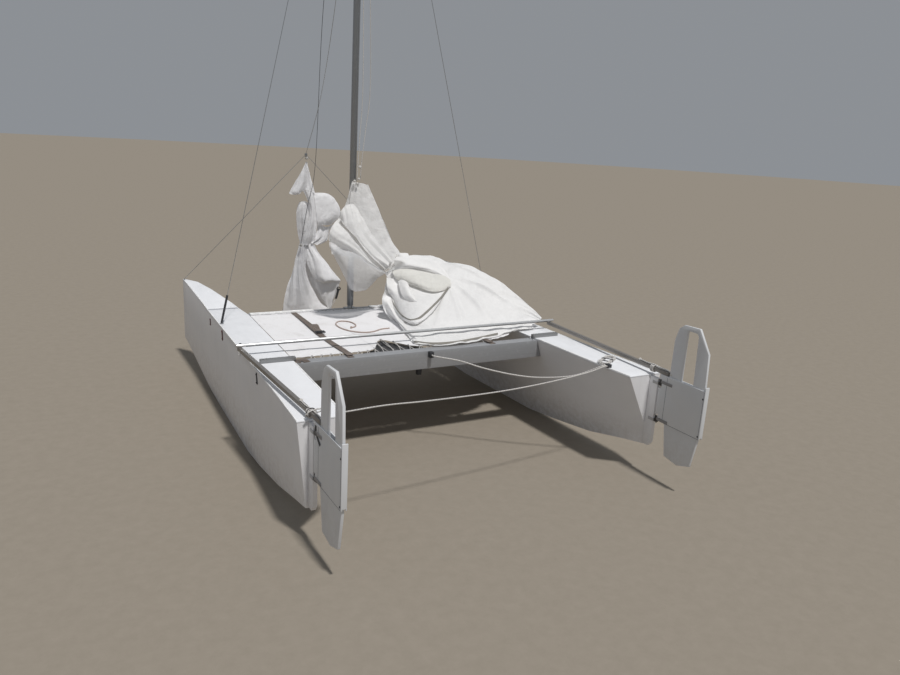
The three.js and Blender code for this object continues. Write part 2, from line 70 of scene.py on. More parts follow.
# Hull sizes: the rudders' x, and a hull's y, outer and inner deck edge x, deck rise, keel x and keel z
HULL_X = 1.1
STATIONS = [
    (0.0, 1.172, 0.925, 0.0, 1.124, -0.465),
    (0.18, 1.164, 0.91, 0.0, 1.12, -0.5),
    (0.5, 1.147, 0.898, 0.0, 1.112, -0.57),
    (0.9, 1.132, 0.882, 0.0, 1.108, -0.622),
    (1.2, 1.124, 0.87, 0.0, 1.1, -0.65),
    (1.5, 1.116, 0.858, 0.0, 1.092, -0.65),
    (2.14, 1.094, 0.836, 0.0, 1.073, -0.65),
    (2.38, 1.086, 0.853, 0.0, 1.07, -0.636),
    (2.54, 1.081, 0.866, 0.007, 1.068, -0.618),
    (2.98, 1.076, 0.926, 0.027, 1.068, -0.543),
    (3.24, 1.077, 0.98, 0.039, 1.072, -0.492),
    (3.356, 1.08, 1.064, 0.045, 1.078, -0.466),
]
SEAM_Y = 2.38
BOX_HALF = 0.0147
PIN_Y = -0.0875
TRAMP_Z = -0.003
REAR = {"aft": 0.913, "front": 0.993, "top": -0.0086}
FRONT = {"aft": 2.15, "front": 2.215, "top": -0.0086}


def at(x, y, z):
    return Vector((x, y + AFT, z + DECK))


def places(rows, sign=1):
    return [at(sign * x, y, z) for x, y, z in rows]


def along_hull(y, column):
    return float(np.interp(y, [row[0] for row in STATIONS], [row[column] for row in STATIONS]))


def outer_edge(y):
    return along_hull(y, 1)


def inner_edge(y):
    return along_hull(y, 2)


def deck_top(y):
    return along_hull(y, 3)


def side_x(y, z):
    """The outboard side's x at a height below the deck."""
    share = (deck_top(y) - z) / (deck_top(y) - along_hull(y, 5))
    return outer_edge(y) + (along_hull(y, 4) - outer_edge(y)) * share


def camera_axes():
    a, e, r = (math.radians(v) for v in (CAMERA_AZIMUTH, CAMERA_ELEVATION, CAMERA_ROLL))
    back = Vector((math.sin(a) * math.cos(e), -math.cos(a) * math.cos(e), math.sin(e)))
    flat = Vector((math.cos(a), math.sin(a), 0))
    up = flat.cross(-back)
    right = flat * math.cos(r) + up * math.sin(r)
    top = up * math.cos(r) - flat * math.sin(r)
    return right, top, back


def seen(px, py, y):
    """The point of the row frame at a photo pixel, whose distance forward in the deck frame is y."""
    right, top, back = camera_axes()
    ray = -back + right * ((px - CENTRE[0]) / FOCAL) - top * ((py - CENTRE[1]) / FOCAL)
    return at(*(CAMERA + ray * ((y - CAMERA.y) / ray.y)))


def array_of(rows):
    return np.array([[list(p) for p in row] for row in rows], float)


def sights(rows):
    return [seen(*row) for row in rows]


def make_camera():
    right, top, back = camera_axes()
    data = bpy.data.cameras.new("camera")
    data.sensor_width = SENSOR
    data.lens = FOCAL / PHOTO[0] * SENSOR
    data.shift_y = (CENTRE[1] - PHOTO[1] / 2) / PHOTO[0]
    data.clip_end = 200
    camera = bpy.data.objects.new("camera", data)
    turn = Matrix((right, top, back)).transposed().to_4x4()
    camera.matrix_world = Matrix.Translation(at(*CAMERA)) @ turn
    bpy.context.scene.collection.objects.link(camera)
    bpy.context.scene.camera = camera


class Finish:
    """A material in the making: its main shader and short ways to add nodes."""

    def __init__(self, name, colour, roughness, metallic=0.0):
        self.material = bpy.data.materials.new(name)
        self.material.use_nodes = True
        self.tree = self.material.node_tree
        self.shader = self.tree.nodes["Principled BSDF"]
        self.set("Base Color", (*colour, 1))
        self.set("Roughness", roughness)
        self.set("Metallic", metallic)
        self.coords = self.add("ShaderNodeTexCoord", {})
        self.place = self.coords.outputs["Object"]

    def add(self, kind, inputs, **settings):
        """A new node; inputs has values or links by the input's name or number."""
        node = self.tree.nodes.new(kind)
        for key, value in settings.items():
            setattr(node, key, value)
        for key, value in inputs.items():
            self.put(node.inputs[key], value)
        return node

    def put(self, socket, value):
        if isinstance(value, bpy.types.NodeSocket):
            self.tree.links.new(value, socket)
        else:
            socket.default_value = value

    def set(self, name, value):
        self.put(self.shader.inputs[name], value)

    def noise(self, scale, detail, rough=0.5, stretch=None, distortion=0.0):
        place = self.place
        if stretch:
            place = self.add("ShaderNodeMapping", {"Vector": place, "Scale": stretch}).outputs["Vector"]
        inputs = {"Vector": place, "Scale": scale, "Detail": detail, "Roughness": rough}
        return self.add("ShaderNodeTexNoise", {**inputs, "Distortion": distortion}).outputs["Fac"]

    def wave(self, scale, direction, distortion):
        inputs = {"Vector": self.place, "Scale": scale, "Distortion": distortion}
        return self.add("ShaderNodeTexWave", inputs, bands_direction=direction).outputs["Fac"]

    def maths(self, operation, a, b=0.5, clamp=False):
        return self.add("ShaderNodeMath", {0: a, 1: b}, operation=operation, use_clamp=clamp).outputs[0]

    def times(self, a, b):
        return self.maths("MULTIPLY", a, b)

    def spread(self, fac, low, high, start=0.0, end=1.0):
        """fac from low to high becomes start to end."""
        inputs = {"Value": fac, "From Min": low, "From Max": high, "To Min": start, "To Max": end}
        return self.add("ShaderNodeMapRange", inputs, clamp=True).outputs["Result"]

    def blend(self, fac, a, b):
        a, b = (v if isinstance(v, bpy.types.NodeSocket) else (*v, 1) for v in (a, b))
        return self.add("ShaderNodeMix", {0: fac, 6: a, 7: b}, data_type="RGBA").outputs[2]

    def patch(self, tone, fac, low, high, amount, colour):
        """tone with up to an amount of colour where fac goes from low to high."""
        return self.blend(self.spread(fac, low, high, 0, amount), tone, colour)

    def bump(self, height, distance, strength, under=None):
        inputs = {"Height": height, "Distance": distance, "Strength": strength}
        if under is not None:
            inputs["Normal"] = under
        return self.add("ShaderNodeBump", inputs).outputs["Normal"]

    def axis(self, index, source=None):
        return self.add("ShaderNodeSeparateXYZ", {0: source or self.place}).outputs[index]

    def done(self, tone, normal):
        self.set("Base Color", tone)
        self.set("Normal", normal)
        return self.material


def shade(colour, by, plus=0.0):
    return tuple(c * by + plus for c in colour)


def paint(name, colour, low, dirt, dirt_amount):
    """Brushed white paint over ply: faint streaks, scuffs, and sand dust that thickens towards the keels."""
    f = Finish(name, colour, 0.42)
    streak = f.noise(3.2, 6, 0.62, stretch=(7.0, 1.1, 0.5))
    tone = f.patch(colour, streak, 0.35, 0.75, 0.5, shade(colour, 0.9))
    tone = f.patch(tone, f.noise(1.6, 5, 0.55), 0.45, 0.75, 0.35, shade(colour, 0.94))
    dust = f.spread(f.noise(26, 8, 0.75), 0.38, 0.66)
    fac = f.maths("MULTIPLY", f.spread(f.axis(2), low[0], low[1], 1.0, 0.0), dust, clamp=True)
    tone = f.blend(f.times(fac, dirt_amount), tone, dirt)
    tone = f.patch(tone, f.noise(190, 2, 0.6), 0.68, 0.74, 0.35, (0.4, 0.38, 0.36))
    f.set("Roughness", f.spread(f.noise(11, 6, 0.6), 0.3, 0.7, 0.34, 0.58))
    ripple = f.bump(f.noise(2.1, 2, 0.4), 0.012, 0.35)
    return f.done(tone, f.bump(f.noise(420, 3, 0.6), 0.0006, 0.5, ripple))


def metal(name, colour, roughness, streaks, metallic):
    """Drawn or anodised metal with fine lengthwise lines, dulled spots and salt bloom."""
    f = Finish(name, colour, roughness, metallic)
    line = f.noise(5, 6, 0.7, stretch=streaks)
    tone = f.patch(colour, line, 0.3, 0.7, 0.3, shade(colour, 0.72))
    tone = f.patch(tone, f.noise(38, 6, 0.6), 0.56, 0.72, 0.45, shade(colour, 1.25))
    f.set("Roughness", f.spread(line, 0.3, 0.7, roughness * 0.8, min(1, roughness * 1.45)))
    return f.done(tone, f.bump(line, 0.0004, 0.4))


def moulded(name, colour, roughness):
    """Moulded fittings, tape and rubber: fine grain, greyed by sun and salt."""
    f = Finish(name, colour, roughness)
    faded = f.noise(30, 5, 0.6)
    f.set("Roughness", f.spread(faded, 0.3, 0.7, roughness * 0.85, roughness * 1.3))
    tone = f.patch(colour, faded, 0.45, 0.75, 0.4, shade(colour, 1.9, 0.03))
    return f.done(tone, f.bump(f.noise(900, 2, 0.5), 0.0004, 0.4))


def sailcloth(name, colour, crease=1.0, through=0.16, clear=0.0):
    """Woven sailcloth: fine weave, soft creases with a little painted shade along them, water marks, light
    that comes through.
    """
    f = Finish(name, colour, 0.55)
    weave = f.times(f.wave(420, "X", 0.4), f.wave(420, "Z", 0.4))
    fold = f.noise(13, 5, 0.55, distortion=1.4)
    ridge = f.spread(f.maths("ABSOLUTE", f.maths("SUBTRACT", fold, 0.5)), 0.0, 0.1, 1.0, 0.0)
    tone = f.patch(colour, f.noise(3.4, 6, 0.6, distortion=0.6), 0.52, 0.8, 0.45, shade(colour, 0.8))
    # Painted shade: the crease lines are made a little darker.
    tone = f.blend(f.times(ridge, 0.06), tone, shade(colour, 0.72))
    f.set("Sheen Weight", 0.12)
    f.set("Specular IOR Level", 0.35)
    f.set("Roughness", f.spread(f.noise(24, 4, 0.6), 0.3, 0.7, 0.45, 0.68))
    big = f.bump(f.times(ridge, crease), 0.0035, 0.55)
    small = f.bump(f.noise(60, 4, 0.6, distortion=0.8), 0.0016, 0.5, big)
    f.done(tone, f.bump(weave, 0.00025, 0.35, small))
    if clear:
        f.set("Alpha", 1.0 - clear)
        return f.material
    light = f.add("ShaderNodeBsdfTranslucent", {"Color": (0.93, 0.9, 0.84, 1)})
    mixer = f.add("ShaderNodeMixShader", {0: through, 1: f.shader.outputs[0], 2: light.outputs[0]})
    f.put(f.tree.nodes["Material Output"].inputs["Surface"], mixer.outputs[0])
    return f.material


def woven_sheet(name, colour):
    """Trampoline cloth: a tight coarse weave with scuffs, sand and grey foot marks."""
    f = Finish(name, colour, 0.7)
    weave = f.maths("MAXIMUM", f.wave(190, "X", 0.2), f.wave(190, "Y", 0.2))
    tone = f.patch(colour, f.noise(5.5, 7, 0.7, distortion=0.7), 0.52, 0.78, 0.6, (0.62, 0.6, 0.58))
    tone = f.patch(tone, f.noise(120, 3, 0.7), 0.63, 0.72, 0.5, (0.48, 0.42, 0.35))
    tone = f.blend(f.times(weave, 0.08), tone, (0.5, 0.5, 0.5))
    f.set("Sheen Weight", 0.08)
    wrinkle = f.bump(f.noise(7, 3, 0.5, stretch=(1, 0.35, 1)), 0.006, 0.4)
    return f.done(tone, f.bump(weave, 0.0006, 0.5, wrinkle))


def webbing(name, colour):
    """Flat strap: ribs across the weave, frayed and sun-bleached in places."""
    f = Finish(name, colour, 0.85)
    weave = f.times(f.wave(160, "Y", 0.3), f.wave(220, "X", 0.2))
    tone = f.patch(colour, f.noise(14, 6, 0.65), 0.42, 0.72, 0.6, shade(colour, 1.5, 0.05))
    tone = f.blend(f.times(weave, 0.35), tone, shade(colour, 0.45))
    f.set("Sheen Weight", 0.2)
    return f.done(tone, f.bump(weave, 0.0012, 0.7))


ROPE_PITCH = 0.018


def rope_finish(name, colour, fleck, fleck_share):
    """Braided rope along its own UV: u runs along in metres, v runs round."""
    f = Finish(name, colour, 0.75)
    uv = f.coords.outputs["UV"]
    turn = 2 * math.pi
    along, around = f.times(f.axis(0, uv), turn / ROPE_PITCH), f.times(f.axis(1, uv), turn * 2)
    left, right = [f.maths("SINE", f.maths(way, along, around)) for way in ("ADD", "SUBTRACT")]
    braid = f.maths("MAXIMUM", left, right)
    dark = f.times(f.spread(left, 0.2, 0.75), f.spread(f.noise(300, 1), 0.5 - fleck_share, 0.62))
    # Painted shade: the rope is darker in the grooves between its strands.
    tone = f.blend(f.spread(braid, 0.0, 1.0, 0.45, 0.0), colour, shade(colour, 0.6))
    tone = f.blend(f.times(dark, 0.75), tone, fleck)
    tone = f.patch(tone, f.noise(16, 5, 0.6), 0.5, 0.75, 0.4, shade(colour, 0.75))
    f.set("Sheen Weight", 0.25)
    return f.done(tone, f.bump(braid, 0.0008, 0.8))


def worn_eye(name, colour, dark, aft_of):
    """Strap of one colour that turns into another aft of a line."""
    f = Finish(name, colour, 0.5)
    share = f.spread(f.axis(1), aft_of - 0.001, aft_of + 0.001, 1.0, 0.0)
    tone = f.patch(colour, f.noise(40, 5, 0.6), 0.4, 0.7, 0.5, shade(colour, 0.7))
    return f.done(f.blend(share, tone, dark), f.bump(f.noise(300, 3, 0.6), 0.0004, 0.4))


def make_finishes():
    """The looks by name, each with its material slot."""
    sand = (0.36, 0.31, 0.25)
    by_slot = {
        "hull_paint": {
            "hull": paint("hull_paint", (0.8, 0.8, 0.82), (0.0, 0.34), sand, 0.55),
            "rudder": paint("rudder_paint", (0.7, 0.715, 0.74), (0.1, 0.5), sand, 0.22),
        },
        "deck_paint": {
            "deck": paint("deck_paint", (0.87, 0.885, 0.92), (0.62, 0.67), sand, 0.1),
            "seam": moulded("seam_sealant", (0.16, 0.17, 0.2), 0.6),
            "white_trim": moulded("white_trim", (0.8, 0.8, 0.8), 0.5),
        },
        "grey_beam": {"beam": metal("grey_beam", (0.4, 0.41, 0.43), 0.42, (0.6, 16, 16), 0.35)},
        "alloy": {
            "deck_bar": metal("deck_bar", (0.3, 0.305, 0.31), 0.38, (0.6, 16, 16), 0.5),
            "tiller": metal("grey_tube", (0.27, 0.255, 0.24), 0.38, (16, 0.6, 16), 0.5),
            "mast": metal("mast_alloy", (0.32, 0.33, 0.34), 0.34, (18, 18, 0.4), 0.7),
            "bright": metal("bright_tube", (0.72, 0.73, 0.74), 0.28, (0.5, 18, 18), 0.6),
        },
        "steel": {"steel": metal("steel", (0.42, 0.43, 0.44), 0.28, (6, 6, 6), 0.95)},
        "black_fitting": {
            "gudgeon": worn_eye("gudgeon", (0.5, 0.5, 0.51), (0.045, 0.042, 0.04), AFT - 0.0745),
            "strap": worn_eye("pintle_strap", (0.045, 0.042, 0.04), (0.27, 0.265, 0.27), AFT - 0.1),
            "black": moulded("black_fitting", (0.028, 0.029, 0.033), 0.45),
        },
        "sailcloth": {
            "sail": sailcloth("sailcloth", (0.93, 0.93, 0.935), 0.6),
            "jib_sail": sailcloth("jib_sailcloth", (0.96, 0.96, 0.985), 0.5, 0.12),
            # Painted shade: a darker, browner copy of the sailcloth for the roll's shaded underside.
            "sail_roll_painted_shade": sailcloth("roll_painted_shade_sailcloth", (0.8, 0.795, 0.76), 0.9),
            # Painted shade: the bag's see-through cloth is given a darker colour for the shade it hangs in.
            "sail_film_painted_shade": sailcloth("sail_film_painted_shade", (0.66, 0.665, 0.68), 0.8, clear=0.3),
            # Dark sail tape, its darkness partly painted shade under the hems.
            "band": sailcloth("sail_tape_and_hem_shade", (0.33, 0.315, 0.285)),
        },
        "trampoline_cloth": {"tramp": woven_sheet("trampoline_cloth", (0.9, 0.895, 0.915))},
        "webbing": {
            "red": webbing("dark_red_webbing", (0.13, 0.035, 0.035)),
            "web": webbing("brown_webbing", (0.15, 0.115, 0.095)),
            "black_web": webbing("black_webbing", (0.028, 0.028, 0.032)),
        },
        "rope": {
            "rope": rope_finish("white_rope", (0.76, 0.74, 0.71), (0.05, 0.05, 0.08), 0.22),
            "brown_rope": rope_finish("pink_rope", (0.52, 0.41, 0.36), (0.14, 0.07, 0.06), 0.14),
            "dark_rope": rope_finish("dark_rope", (0.05, 0.05, 0.06), (0.3, 0.3, 0.3), 0.02),
        },
    }
    return {look: (finish, slot) for slot, looks in by_slot.items() for look, finish in looks.items()}


# The studio: floor colours, sky colour and strength, and the sun's strength, width, colour and direction
FLOOR = [(0.3, 0.265, 0.22), (0.285, 0.252, 0.208), (0.315, 0.278, 0.232)]
SKY = (0.88, 0.93, 1.0, 1)
SKY_STRENGTH = 0.3
SUN_STRENGTH = 2.5
SUN_WIDTH = 4
SUN_COLOUR = (1.0, 0.975, 0.94)
SUN_FROM = Vector((0.03, -0.4, 0.916))


def make_stage():
    f = Finish("floor", FLOOR[0], 0.95)
    grain = f.noise(14, 8, 0.7)
    f.set("Base Color", f.blend(f.spread(grain, 0.3, 0.7), *FLOOR[1:]))
    f.set("Specular IOR Level", 0.1)
    bpy.ops.mesh.primitive_circle_add(vertices=96, radius=70, fill_type="NGON", location=(0, 0, 0))
    floor = bpy.context.object
    floor.name = "floor"
    floor.data.materials.append(f.material)
    world = bpy.data.worlds.new("world")
    world.use_nodes = True
    sky = world.node_tree.nodes["Background"]
    sky.inputs["Color"].default_value = SKY
    sky.inputs["Strength"].default_value = SKY_STRENGTH
    bpy.context.scene.world = world
    sun = bpy.data.lights.new("key", "SUN")
    sun.energy = SUN_STRENGTH
    sun.angle = math.radians(SUN_WIDTH)
    sun.color = SUN_COLOUR
    key = bpy.data.objects.new("key", sun)
    key.rotation_euler = SUN_FROM.to_track_quat("Z", "Y").to_euler()
    bpy.context.scene.collection.objects.link(key)
    bpy.context.scene.view_settings.view_transform = "Standard"


def between(p, q, start, end, t):
    """From p at start to q at end, the value at t."""
    return p * (end - t) / (end - start) + q * (t - start) / (end - start)


def smooth_line(points, step):
    """A smooth line through the points with points about step apart."""
    pts = array_of([points])[0]
    if len(pts) == 2:
        count = max(2, int(np.linalg.norm(pts[1] - pts[0]) / step) + 1)
        return [Vector(pts[0] + (pts[1] - pts[0]) * t) for t in np.linspace(0, 1, count)]
    pad = np.vstack([2 * pts[0] - pts[1], pts, 2 * pts[-1] - pts[-2]])
    out = []
    for i in range(1, len(pad) - 2):
        p0, p1, p2, p3 = pad[i - 1:i + 3]
        gaps = [max(np.linalg.norm(q - p), 1e-9) ** 0.5 for p, q in ((p0, p1), (p1, p2), (p2, p3))]
        t1, t2, t3 = np.cumsum(gaps)
        count = max(1, int(round(np.linalg.norm(p2 - p1) / step)))
        for t in t1 + (t2 - t1) * np.arange(count) / count:
            a1, a2, a3 = between(p0, p1, 0, t1, t), between(p1, p2, t1, t2, t), between(p2, p3, t2, t3, t)
            b1, b2 = between(a1, a2, 0, t2, t), between(a2, a3, t1, t3, t)
            out.append(Vector(between(b1, b2, t1, t2, t)))
    return out + [Vector(pts[-1])]


def link(name, mesh, look, body="platform", slot=None):
    """The mesh as a piece that rides on a body, in the look's finish."""
    finish, usual = LOOKS[look]
    piece = bpy.data.objects.new(name, mesh)
    bpy.context.scene.collection.objects.link(piece)
    mesh.materials.clear()
    mesh.materials.append(finish)
    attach(piece, body)
    slot or usual
    return piece


def axes_of(direction):
    """The direction and two more square to it."""
    d = direction.normalized()
    side = UP if abs(d.z) < 0.9 else ACROSS
    u = (side - d * side.dot(d)).normalized()
    return d, u, d.cross(u)


def tangents_of(line):
    last = len(line) - 1
    return [(line[min(i + 1, last)] - line[max(i - 1, 0)]).normalized() for i in range(last + 1)]


def circle(count):
    return [2 * math.pi * k / count for k in range(count)]


# A bolt head's outline: height and radius as shares
BOLT = [(0.0, 1.35), (0.18, 1.35), (0.2, 1.0), (0.8, 1.0), (1.0, 0.82)]


class Builder:
    """Collects the vertices, faces and UVs of one mesh from tubes, boxes and the like."""

    def __init__(self):
        self.verts, self.faces, self.uvs, self.smooth = [], [], [], []

    def add(self, verts, faces, uvs=None, smooth=True):
        base = len(self.verts)
        self.verts += [tuple(v) for v in verts]
        self.faces += [[base + k for k in face] for face in faces]
        self.uvs += uvs or [[(0, 0)] * len(face) for face in faces]
        self.smooth += [smooth] * len(faces)

    def loft(self, rings, uvs=None, smooth=False, closed=False):
        """Faces from ring to ring, and an end face on both ends of a row of rings that isn't closed."""
        n, m = len(rings), len(rings[0])
        faces = [[i * m + k, i * m + (k + 1) % m, (i + 1) % n * m + (k + 1) % m, (i + 1) % n * m + k]
                 for i in range(n if closed else n - 1) for k in range(m)]
        if not closed:
            faces += [list(range(m))[::-1], [(n - 1) * m + k for k in range(m)]]
        self.add([v for ring in rings for v in ring], faces, uvs, smooth)

    def tube(self, line, radius, sides=8):
        """A round tube with closed ends along the points of line."""
        tangents = tangents_of(line)
        normal = axes_of(tangents[0])[1]
        rings, along = [], []
        for i, (point, t) in enumerate(zip(line, tangents)):
            normal = (normal - t * normal.dot(t)).normalized()
            other = t.cross(normal)
            along.append(along[-1] + (point - line[i - 1]).length if i else 0.0)
            rings.append([point + (normal * math.cos(a) + other * math.sin(a)) * radius
                          for a in circle(sides)])
        around = [k / sides for k in range(sides + 1)]
        uvs = [[(u0, v0), (u0, v1), (u1, v1), (u1, v0)]
               for u0, u1 in zip(along, along[1:]) for v0, v1 in zip(around, around[1:])]
        uvs += [[(0, v) for v in around[-2::-1]], [(along[-1], v) for v in around[:-1]]]
        self.loft(rings, uvs, smooth=True)

    def rope(self, points, step, radius, sides=8):
        self.tube(smooth_line(points, step), radius, sides)

    def box(self, low, high):
        (x0, y0, z0), (x1, y1, z1) = low, high
        self.loft([[(x0, y0, z), (x1, y0, z), (x1, y1, z), (x0, y1, z)] for z in (z0, z1)])

    def bolt(self, centre, direction, radius, height, sides=6):
        """A hexagon or dome head standing on a surface."""
        d, u, w = axes_of(direction)
        rings = []
        for up, wide in BOLT:
            radii = [radius * wide * (1.0 if wide > 1.1 or k % 2 else 0.92) for k in range(sides * 2)]
            rings.append([centre + d * height * up + (u * math.cos(a) + w * math.sin(a)) * r
                          for a, r in zip(circle(sides * 2), radii)])
        self.loft(rings)

    def ring(self, centre, axis, radius, thick, turns=20, sides=8):
        """A closed round ring."""
        d, u, w = axes_of(axis)
        rings = []
        for a in circle(turns):
            out = u * math.cos(a) + w * math.sin(a)
            rings.append([centre + out * (radius + thick * math.cos(b)) + d * thick * math.sin(b)
                          for b in circle(sides)])
        self.loft(rings, smooth=True, closed=True)

    def ribbon(self, line, width, thick, across=ACROSS):
        """A flat strap along line; across is its width direction."""
        rings = []
        for point, t in zip(line, tangents_of(line)):
            a = (across - t * across.dot(t)).normalized()
            up = t.cross(a)
            rings.append([point + a * s * width / 2 + up * h * thick / 2
                          for s, h in ((-1, -1), (1, -1), (1, 1), (-1, 1))])
        self.loft(rings)

    def mesh(self, name):
        mesh = bpy.data.meshes.new(name)
        mesh.from_pydata(self.verts, [], self.faces)
        layer = mesh.uv_layers.new(name="UVMap")
        layer.data.foreach_set("uv", [c for face in self.uvs for uv in face for c in uv])
        mesh.polygons.foreach_set("use_smooth", self.smooth)
        mesh.update()
        bm = bmesh.new()
        bm.from_mesh(mesh)
        bmesh.ops.recalc_face_normals(bm, faces=bm.faces)
        bm.to_mesh(mesh)
        bm.free()
        return mesh

    def piece(self, name, look, body="platform", slot=None):
        return link(name, self.mesh(name), look, body, slot)


def cord_piece(name, route, diameter, look):
    """A rope tube on the platform, along a smooth line through the route's points."""
    line = smooth_line(route, 0.009)
    maker = Builder()
    maker.tube(line, diameter / 2, sides=10)
    return maker.piece(name, look), line


def length_of(line):
    return sum((b - a).length for a, b in zip(line, line[1:]))


# The mainsheet and the line between the sterns: name, CAD node, diameter, lay, route
CORDS = [
    ("mainsheet_rope", "mainsheet", 0.01, "hanging", [
        (0.023, 0.8804, -0.03), (0.023, 0.8604, -0.03), (0.166, 0.771, -0.05), (0.3, 0.668, -0.085),
        (0.456, 0.549, -0.109), (0.577, 0.457, -0.11), (0.753, 0.322, -0.074), (0.8854, 0.208, 0.012),
        (0.9054, 0.208, 0.012)]),
    ("stern_rope", "stern_line", 0.008, "taut", [
        (-0.9244, 0.028, 0.007), (-0.9044, 0.028, 0.007), (-0.689, 0.051, 0.004), (-0.415, 0.075, -0.013),
        (0.108, 0.122, -0.032), (0.496, 0.156, -0.024), (0.76, 0.18, -0.006), (0.8854, 0.193, 0.012),
        (0.9054, 0.193, 0.012)]),
]


def declare_cord(line):
    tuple(line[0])
    length_of(line)


def make_cords():
    for name, node, diameter, lay, route in CORDS:
        piece, line = cord_piece(name, places(route), diameter, "rope")
        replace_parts(piece, node)
        declare_cord(line)
    make_loose_line()
    make_hank()


# The loose line on the trampoline: x, y, from under the heap to its knot
LOOSE_LINE = [
    (0.0, 1.5), (-0.062, 1.492), (-0.14, 1.45), (-0.215, 1.442), (-0.282, 1.492), (-0.32, 1.572),
    (-0.332, 1.662), (-0.312, 1.742), (-0.262, 1.785), (-0.21, 1.76), (-0.192, 1.69), (-0.21, 1.62),
    (-0.25, 1.59),
]
LOOSE_R = 0.0045


def make_loose_line():
    flat = smooth_line([Vector((x, y, 0)) for x, y in LOOSE_LINE], 0.02)
    route = [at(p.x, p.y, tramp_height(p.x, p.y) + LOOSE_R + 0.0005) for p in flat]
    piece, line = cord_piece("trampoline_rope", route, 2 * LOOSE_R, "brown_rope")
    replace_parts(piece, "trampoline_line")
    maker = Builder()
    knot(maker, line[-1] + Vector((-0.006, -0.002, 0.003)), 0.0085, LOOSE_R)
    end = maker.piece("trampoline_rope_knot", "brown_rope")
    declare_cord(line)


# Turns of a knot: axis and size
KNOT = [((1, 0.3, 0.1), 1.0), ((0.2, 1, 0.3), 0.95), ((0.3, -0.2, 1), 0.9), ((1, -1, 0.4), 0.7)]


def knot(maker, centre, size, thick):
    """An overhand knot: turns of the rope round itself."""
    for axis, scale in KNOT:
        maker.ring(centre, Vector(axis), size * scale * 0.62, thick * 0.85, turns=18)


# The hank on the starboard deck: the middles of its two bends, its turns' radii and heights, its exit and
# its way back, its radius, the steps round a bend, and its tie as places across it and heights
HANK_AFT = Vector((0.95, 0.277))
HANK_FRONT = Vector((1.062, 0.347))
HANK_TURNS = [(0.0325, 0.0043), (0.0245, 0.0043), (0.0245, 0.0126), (0.0325, 0.0126)]
HANK_EXIT = [(0.924, 0.2208, 0.007), (0.934, 0.233, 0.0055), (0.952, 0.2415, 0.0045)]
HANK_BACK = [(0.93, 0.3105, 0.0126), (0.911, 0.282, 0.0115), (0.911, 0.25, 0.01), (0.912, 0.2208, 0.01)]
HANK_R = 0.004
HANK_STEPS = 9
HANK_TIE = [(-0.0375, 0.001), (-0.0375, 0.016), (-0.031, 0.0182), (0.0, 0.0186), (0.031, 0.0182),
            (0.0375, 0.016), (0.0375, 0.001), (0.0, 0.0008), (-0.0375, 0.001), (-0.0375, 0.0155)]


def hank_route(along, across):
    """The hank's turns, each a little wavy, from its exit to its held end."""
    route = [Vector(p) for p in HANK_EXIT]

    def add(p, height):
        route.append(Vector((p.x, p.y, height)))

    for turn, (radius, height) in enumerate(HANK_TURNS):
        side = across * (radius + 0.0012 * math.sin(2.1 * turn))
        for k in (1, 2, 3):
            add(HANK_AFT.lerp(HANK_FRONT, k / 4) + side, height)
        for k in range(HANK_STEPS + 1):
            a = math.pi * k / HANK_STEPS
            add(HANK_FRONT + (across * math.cos(a) + along * math.sin(a)) * radius, height)
        for k in (3, 2, 1):
            add(HANK_AFT.lerp(HANK_FRONT, k / 4) - side, height)
        if turn < len(HANK_TURNS) - 1:
            next_radius, next_height = HANK_TURNS[turn + 1]
            for k in range(HANK_STEPS + 1):
                t = k / HANK_STEPS
                out = across * math.cos(math.pi * t) + along * math.sin(math.pi * t)
                wide = radius + (next_radius - radius) * t
                add(HANK_AFT - out * wide, height + (next_height - height) * t)
    return route + [Vector(p) for p in HANK_BACK]


def make_hank():
    along = (HANK_FRONT - HANK_AFT).normalized()
    across = Vector((along.y, -along.x))
    piece, line = cord_piece("hank_rope", places(hank_route(along, across)), 2 * HANK_R, "rope")
    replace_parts(piece, "hank")
    tie = Builder()
    middle = HANK_AFT.lerp(HANK_FRONT, 0.52)
    for shift in (-0.006, 0.002):
        band = [at(*(middle + across * side + along * shift), height) for side, height in HANK_TIE]
        tie.ribbon(band, 0.007, 0.0016, Vector((along.x, along.y, 0)))
    held = tie.piece("hank_tie", "black_web", slot="black_fitting")
    declare_cord(line)


# Edges that turn by more degrees than the first are rounded, and by more than the second look sharp
SHARP_ANGLE = 35
CREASE_ANGLE = 28


def bevelled(node, look, width, slot=None):
    """The node's own shape with its edges rounded, in its place."""
    mesh = frame["nodes"][node].data.copy()
    mesh.name = node + "_skin"
    bm = bmesh.new()
    bm.from_mesh(mesh)
    bmesh.ops.remove_doubles(bm, verts=bm.verts, dist=1e-5)
    bmesh.ops.dissolve_limit(bm, angle_limit=math.radians(1), verts=bm.verts, edges=bm.edges)
    limit = math.radians(SHARP_ANGLE)
    sharp = [e for e in bm.edges if len(e.link_faces) == 2 and e.calc_face_angle(0) > limit]
    bmesh.ops.bevel(bm, geom=sharp, offset=width, segments=2, profile=0.6, affect="EDGES",
                    clamp_overlap=True)
    for face in bm.faces:
        face.smooth = True
    bm.to_mesh(mesh)
    bm.free()
    mesh.set_sharp_from_angle(angle=math.radians(CREASE_ANGLE))
    body = next(b for b, names in frame["record"]["behaviour"]["bodies"].items() if node in names)
    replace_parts(link(node + "_skin", mesh, look, body, slot), node)


